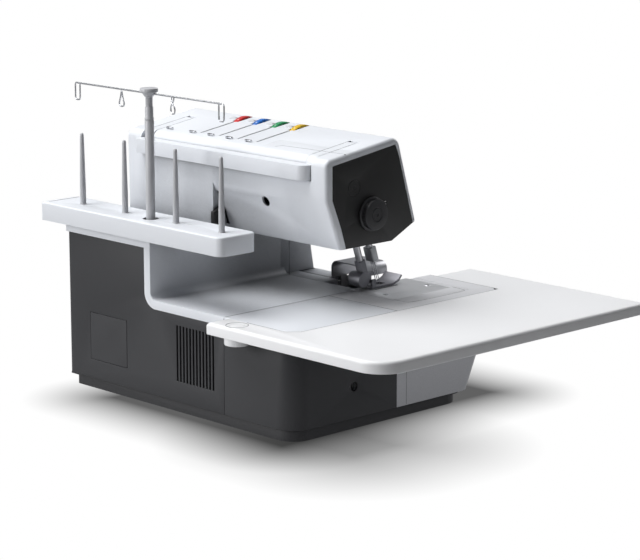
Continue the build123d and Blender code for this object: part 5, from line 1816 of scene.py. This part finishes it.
@dataclass
class Studio:
    """The pale floor, the soft lights and the camera.

    Attributes:
        azimuth: The camera's direction round the machine, in degrees.
        elevation: Its height angle, in degrees.
        distance: Its distance from the target.
        target: Where it looks.
        lens: Its focal length in millimetres.
        sensor: The width of its sensor in millimetres.
        footprint: The painted shadow under and round the machine.
        table_patch: The painted shadow under the table's corner.
        glossy_room: Strength of the room that reflections see.
        dim_room: Strength of the room's light.
        floor_bounce: Strength of the light that the floor sends up near the machine.
        bounce_reach: How far from the middle of the floor that light is even.
        bounce_spread: Where it ends, as a multiple of that.
        floor_extent: Half the floor's length.
        floor_grey: The floor's own colour.
        floor_glow: The colour of the light that it sends up.
        room_colour: The colour of the room's light.
    """

    azimuth: float = 226.11
    elevation: float = 11.94
    distance: float = 2.704
    target: Point = (-0.0105, 0.026, 0.1415)
    lens: float = 136.8
    footprint: ShadePatch = ShadePatch((0.03, 0.014, 0), (0.14, 0.163, 1), 0.105, 0.88, 1.3)
    table_patch: ShadePatch = ShadePatch((-0.15, 0.12, 0), (0.04, 0.03, 1), 0.16, 0.62, 1.1)
    glossy_room: float = 0.3
    dim_room: float = 0.02
    floor_bounce: float = 0.32
    bounce_reach: float = 0.3
    bounce_spread: float = 2.5
    floor_extent: float = 30
    floor_grey: Point = (0.3, 0.3, 0.3)
    floor_glow: Point = (0.96, 0.97, 1.0)
    room_colour: Point = (0.93, 0.96, 1)
    sensor: float = 36

    def build(self) -> None:
        """Build the floor, lights and camera."""
        self.build_floor()
        self.build_world()
        self.build_light("overhead", (1.2, 1.0, 3.6), 3.2, 180)
        self.build_light("rear", (2.0, 4.2, 1.4), 2.0, 100)
        self.build_light("front", (0.4, -3.2, 1.5), 1.6, 30)
        self.build_camera()
        bpy.context.scene.view_settings.view_transform = "Standard"

    def build_floor(self) -> None:
        """Lay a pale floor that reads white, with a soft contact shadow painted into what the camera sees."""
        bm = bmesh.new()
        bmesh.ops.create_grid(bm, x_segments=1, y_segments=1, size=self.floor_extent)
        mesh = bpy.data.meshes.new("floor")
        bm.to_mesh(mesh)
        bm.free()
        floor = bpy.data.objects.new("floor", mesh)
        bpy.context.scene.collection.objects.link(floor)
        material, tree, shader = blank_material("pale floor")
        shader.inputs["Base Color"].default_value = (*self.floor_grey, 1)
        shader.inputs["Emission Color"].default_value = (*self.floor_glow, 1)
        shader.inputs["Roughness"].default_value = 0.9
        shader.inputs["Specular IOR Level"].default_value = 0.1
        # Painted shadow: the camera sees an emission whose strength the two shade masks lower near the
        # machine.
        seen = tree.nodes.new("ShaderNodeEmission")
        under = self.contact_shade(tree, self.footprint)
        beside = self.contact_shade(tree, self.table_patch)
        tree.links.new(maths(tree, "MULTIPLY", under, beside), seen.inputs["Strength"])
        place = tree.nodes.new("ShaderNodeTexCoord").outputs["Object"]
        span = (self.bounce_reach, self.bounce_reach * self.bounce_spread)
        near = self.length_fade(tree, place, span, (self.floor_bounce, 0.0))
        tree.links.new(near, shader.inputs["Emission Strength"])
        path = tree.nodes.new("ShaderNodeLightPath")
        mix = tree.nodes.new("ShaderNodeMixShader")
        output = tree.nodes["Material Output"]
        tree.links.new(path.outputs["Is Camera Ray"], mix.inputs[0])
        tree.links.new(shader.outputs[0], mix.inputs[1])
        tree.links.new(seen.outputs[0], mix.inputs[2])
        tree.links.new(mix.outputs[0], output.inputs["Surface"])
        mesh.materials.append(material)

    def contact_shade(self, tree: Tree, patch: ShadePatch) -> Socket:
        """Give the brightness that a painted shadow leaves on the floor round a rectangle, as a share of full
        light.

        Args:
            tree: The floor material's tree.
            patch: The rectangle and how its shade fades.

        Returns:
            The value's socket.
        """
        place = tree.nodes.new("ShaderNodeTexCoord").outputs["Object"]
        steps = (
            ("SUBTRACT", patch.centre), ("ABSOLUTE", (0, 0, 0)), ("SUBTRACT", patch.half),
            ("MAXIMUM", (0, 0, 0)),
        )
        for operation, value in steps:
            step = tree.nodes.new("ShaderNodeVectorMath")
            step.operation = operation
            tree.links.new(place, step.inputs[0])
            step.inputs[1].default_value = value
            place = step.outputs[0]
        fade = self.length_fade(tree, place, (0.0, patch.reach), (1.0, 0.0))
        curve = maths(tree, "POWER", fade, patch.curve)
        return maths(tree, "SUBTRACT", 1.0, maths(tree, "MULTIPLY", curve, patch.depth))

    def length_fade(
        self, tree: Tree, place: Socket, span: tuple[float, float], values: tuple[float, float]
    ) -> Socket:
        """Give a value that changes with the length of a vector.

        Args:
            tree: The floor material's tree.
            place: The vector's socket.
            span: The lengths where the change starts and ends.
            values: The values at those lengths.

        Returns:
            The value's socket.
        """
        length = tree.nodes.new("ShaderNodeVectorMath")
        length.operation = "LENGTH"
        tree.links.new(place, length.inputs[0])
        fade = tree.nodes.new("ShaderNodeMapRange")
        fade.inputs["From Min"].default_value, fade.inputs["From Max"].default_value = span
        fade.inputs["To Min"].default_value, fade.inputs["To Max"].default_value = values
        tree.links.new(length.outputs["Value"], fade.inputs["Value"])
        return fade.outputs["Result"]

    def build_world(self) -> None:
        """Fill the room with dim, even light."""
        world = bpy.data.worlds.new("studio")
        world.use_nodes = True
        tree = world.node_tree
        room = tree.nodes["Background"]
        room.inputs["Color"].default_value = (*self.room_colour, 1)
        path = tree.nodes.new("ShaderNodeLightPath")
        glossy = maths(tree, "MULTIPLY", path.outputs["Is Glossy Ray"], self.glossy_room)
        seen = maths(tree, "ADD", path.outputs["Is Camera Ray"], self.dim_room)
        tree.links.new(maths(tree, "ADD", glossy, seen), room.inputs["Strength"])
        bpy.context.scene.world = world

    def build_light(self, name: str, place: Point, size: float, power: float) -> None:
        """Hang a square soft light that faces the machine.

        Args:
            name: The light's name.
            place: Where it hangs.
            size: The length of its side.
            power: Its power in watts.
        """
        data = bpy.data.lights.new(name, "AREA")
        data.shape = "SQUARE"
        data.size = size
        data.energy = power
        light = bpy.data.objects.new(name, data)
        light.location = place
        light.rotation_euler = (Vector(self.target) - Vector(place)).to_track_quat("-Z", "Y").to_euler()
        bpy.context.scene.collection.objects.link(light)

    def build_camera(self) -> None:
        """Set the camera, which has no depth of field."""
        turn, rise = math.radians(self.azimuth), math.radians(self.elevation)
        level = math.cos(rise)
        out = Vector((math.sin(turn) * level, -math.cos(turn) * level, math.sin(rise)))
        data = bpy.data.cameras.new("camera")
        data.lens = self.lens
        data.sensor_width = self.sensor
        data.dof.use_dof = False
        camera = bpy.data.objects.new("camera", data)
        camera.location = Vector(self.target) + out * self.distance
        camera.rotation_euler = (-out).to_track_quat("-Z", "Y").to_euler()
        bpy.context.scene.collection.objects.link(camera)
        bpy.context.scene.camera = camera


def main() -> None:
    """Build the studio, then every sub-assembly in order."""
    logging.basicConfig(level=logging.INFO, format="%(message)s")
    Studio().build()
    shop = Workshop(Finishes())
    parts = [
        Base(),
        Bed(),
        Arm(),
        PressureKnob(),
        TensionDials(),
        CarryHandle(),
        ThreadStand(),
        ExtensionTable(),
        SeamLines(),
        SewingHead(),
        Drive(),
        SideControls(),
    ]
    for part in parts:
        LOG.info("Building %s", type(part).__name__)
        part.build(shop)


if __name__ == "__main__":
    main()
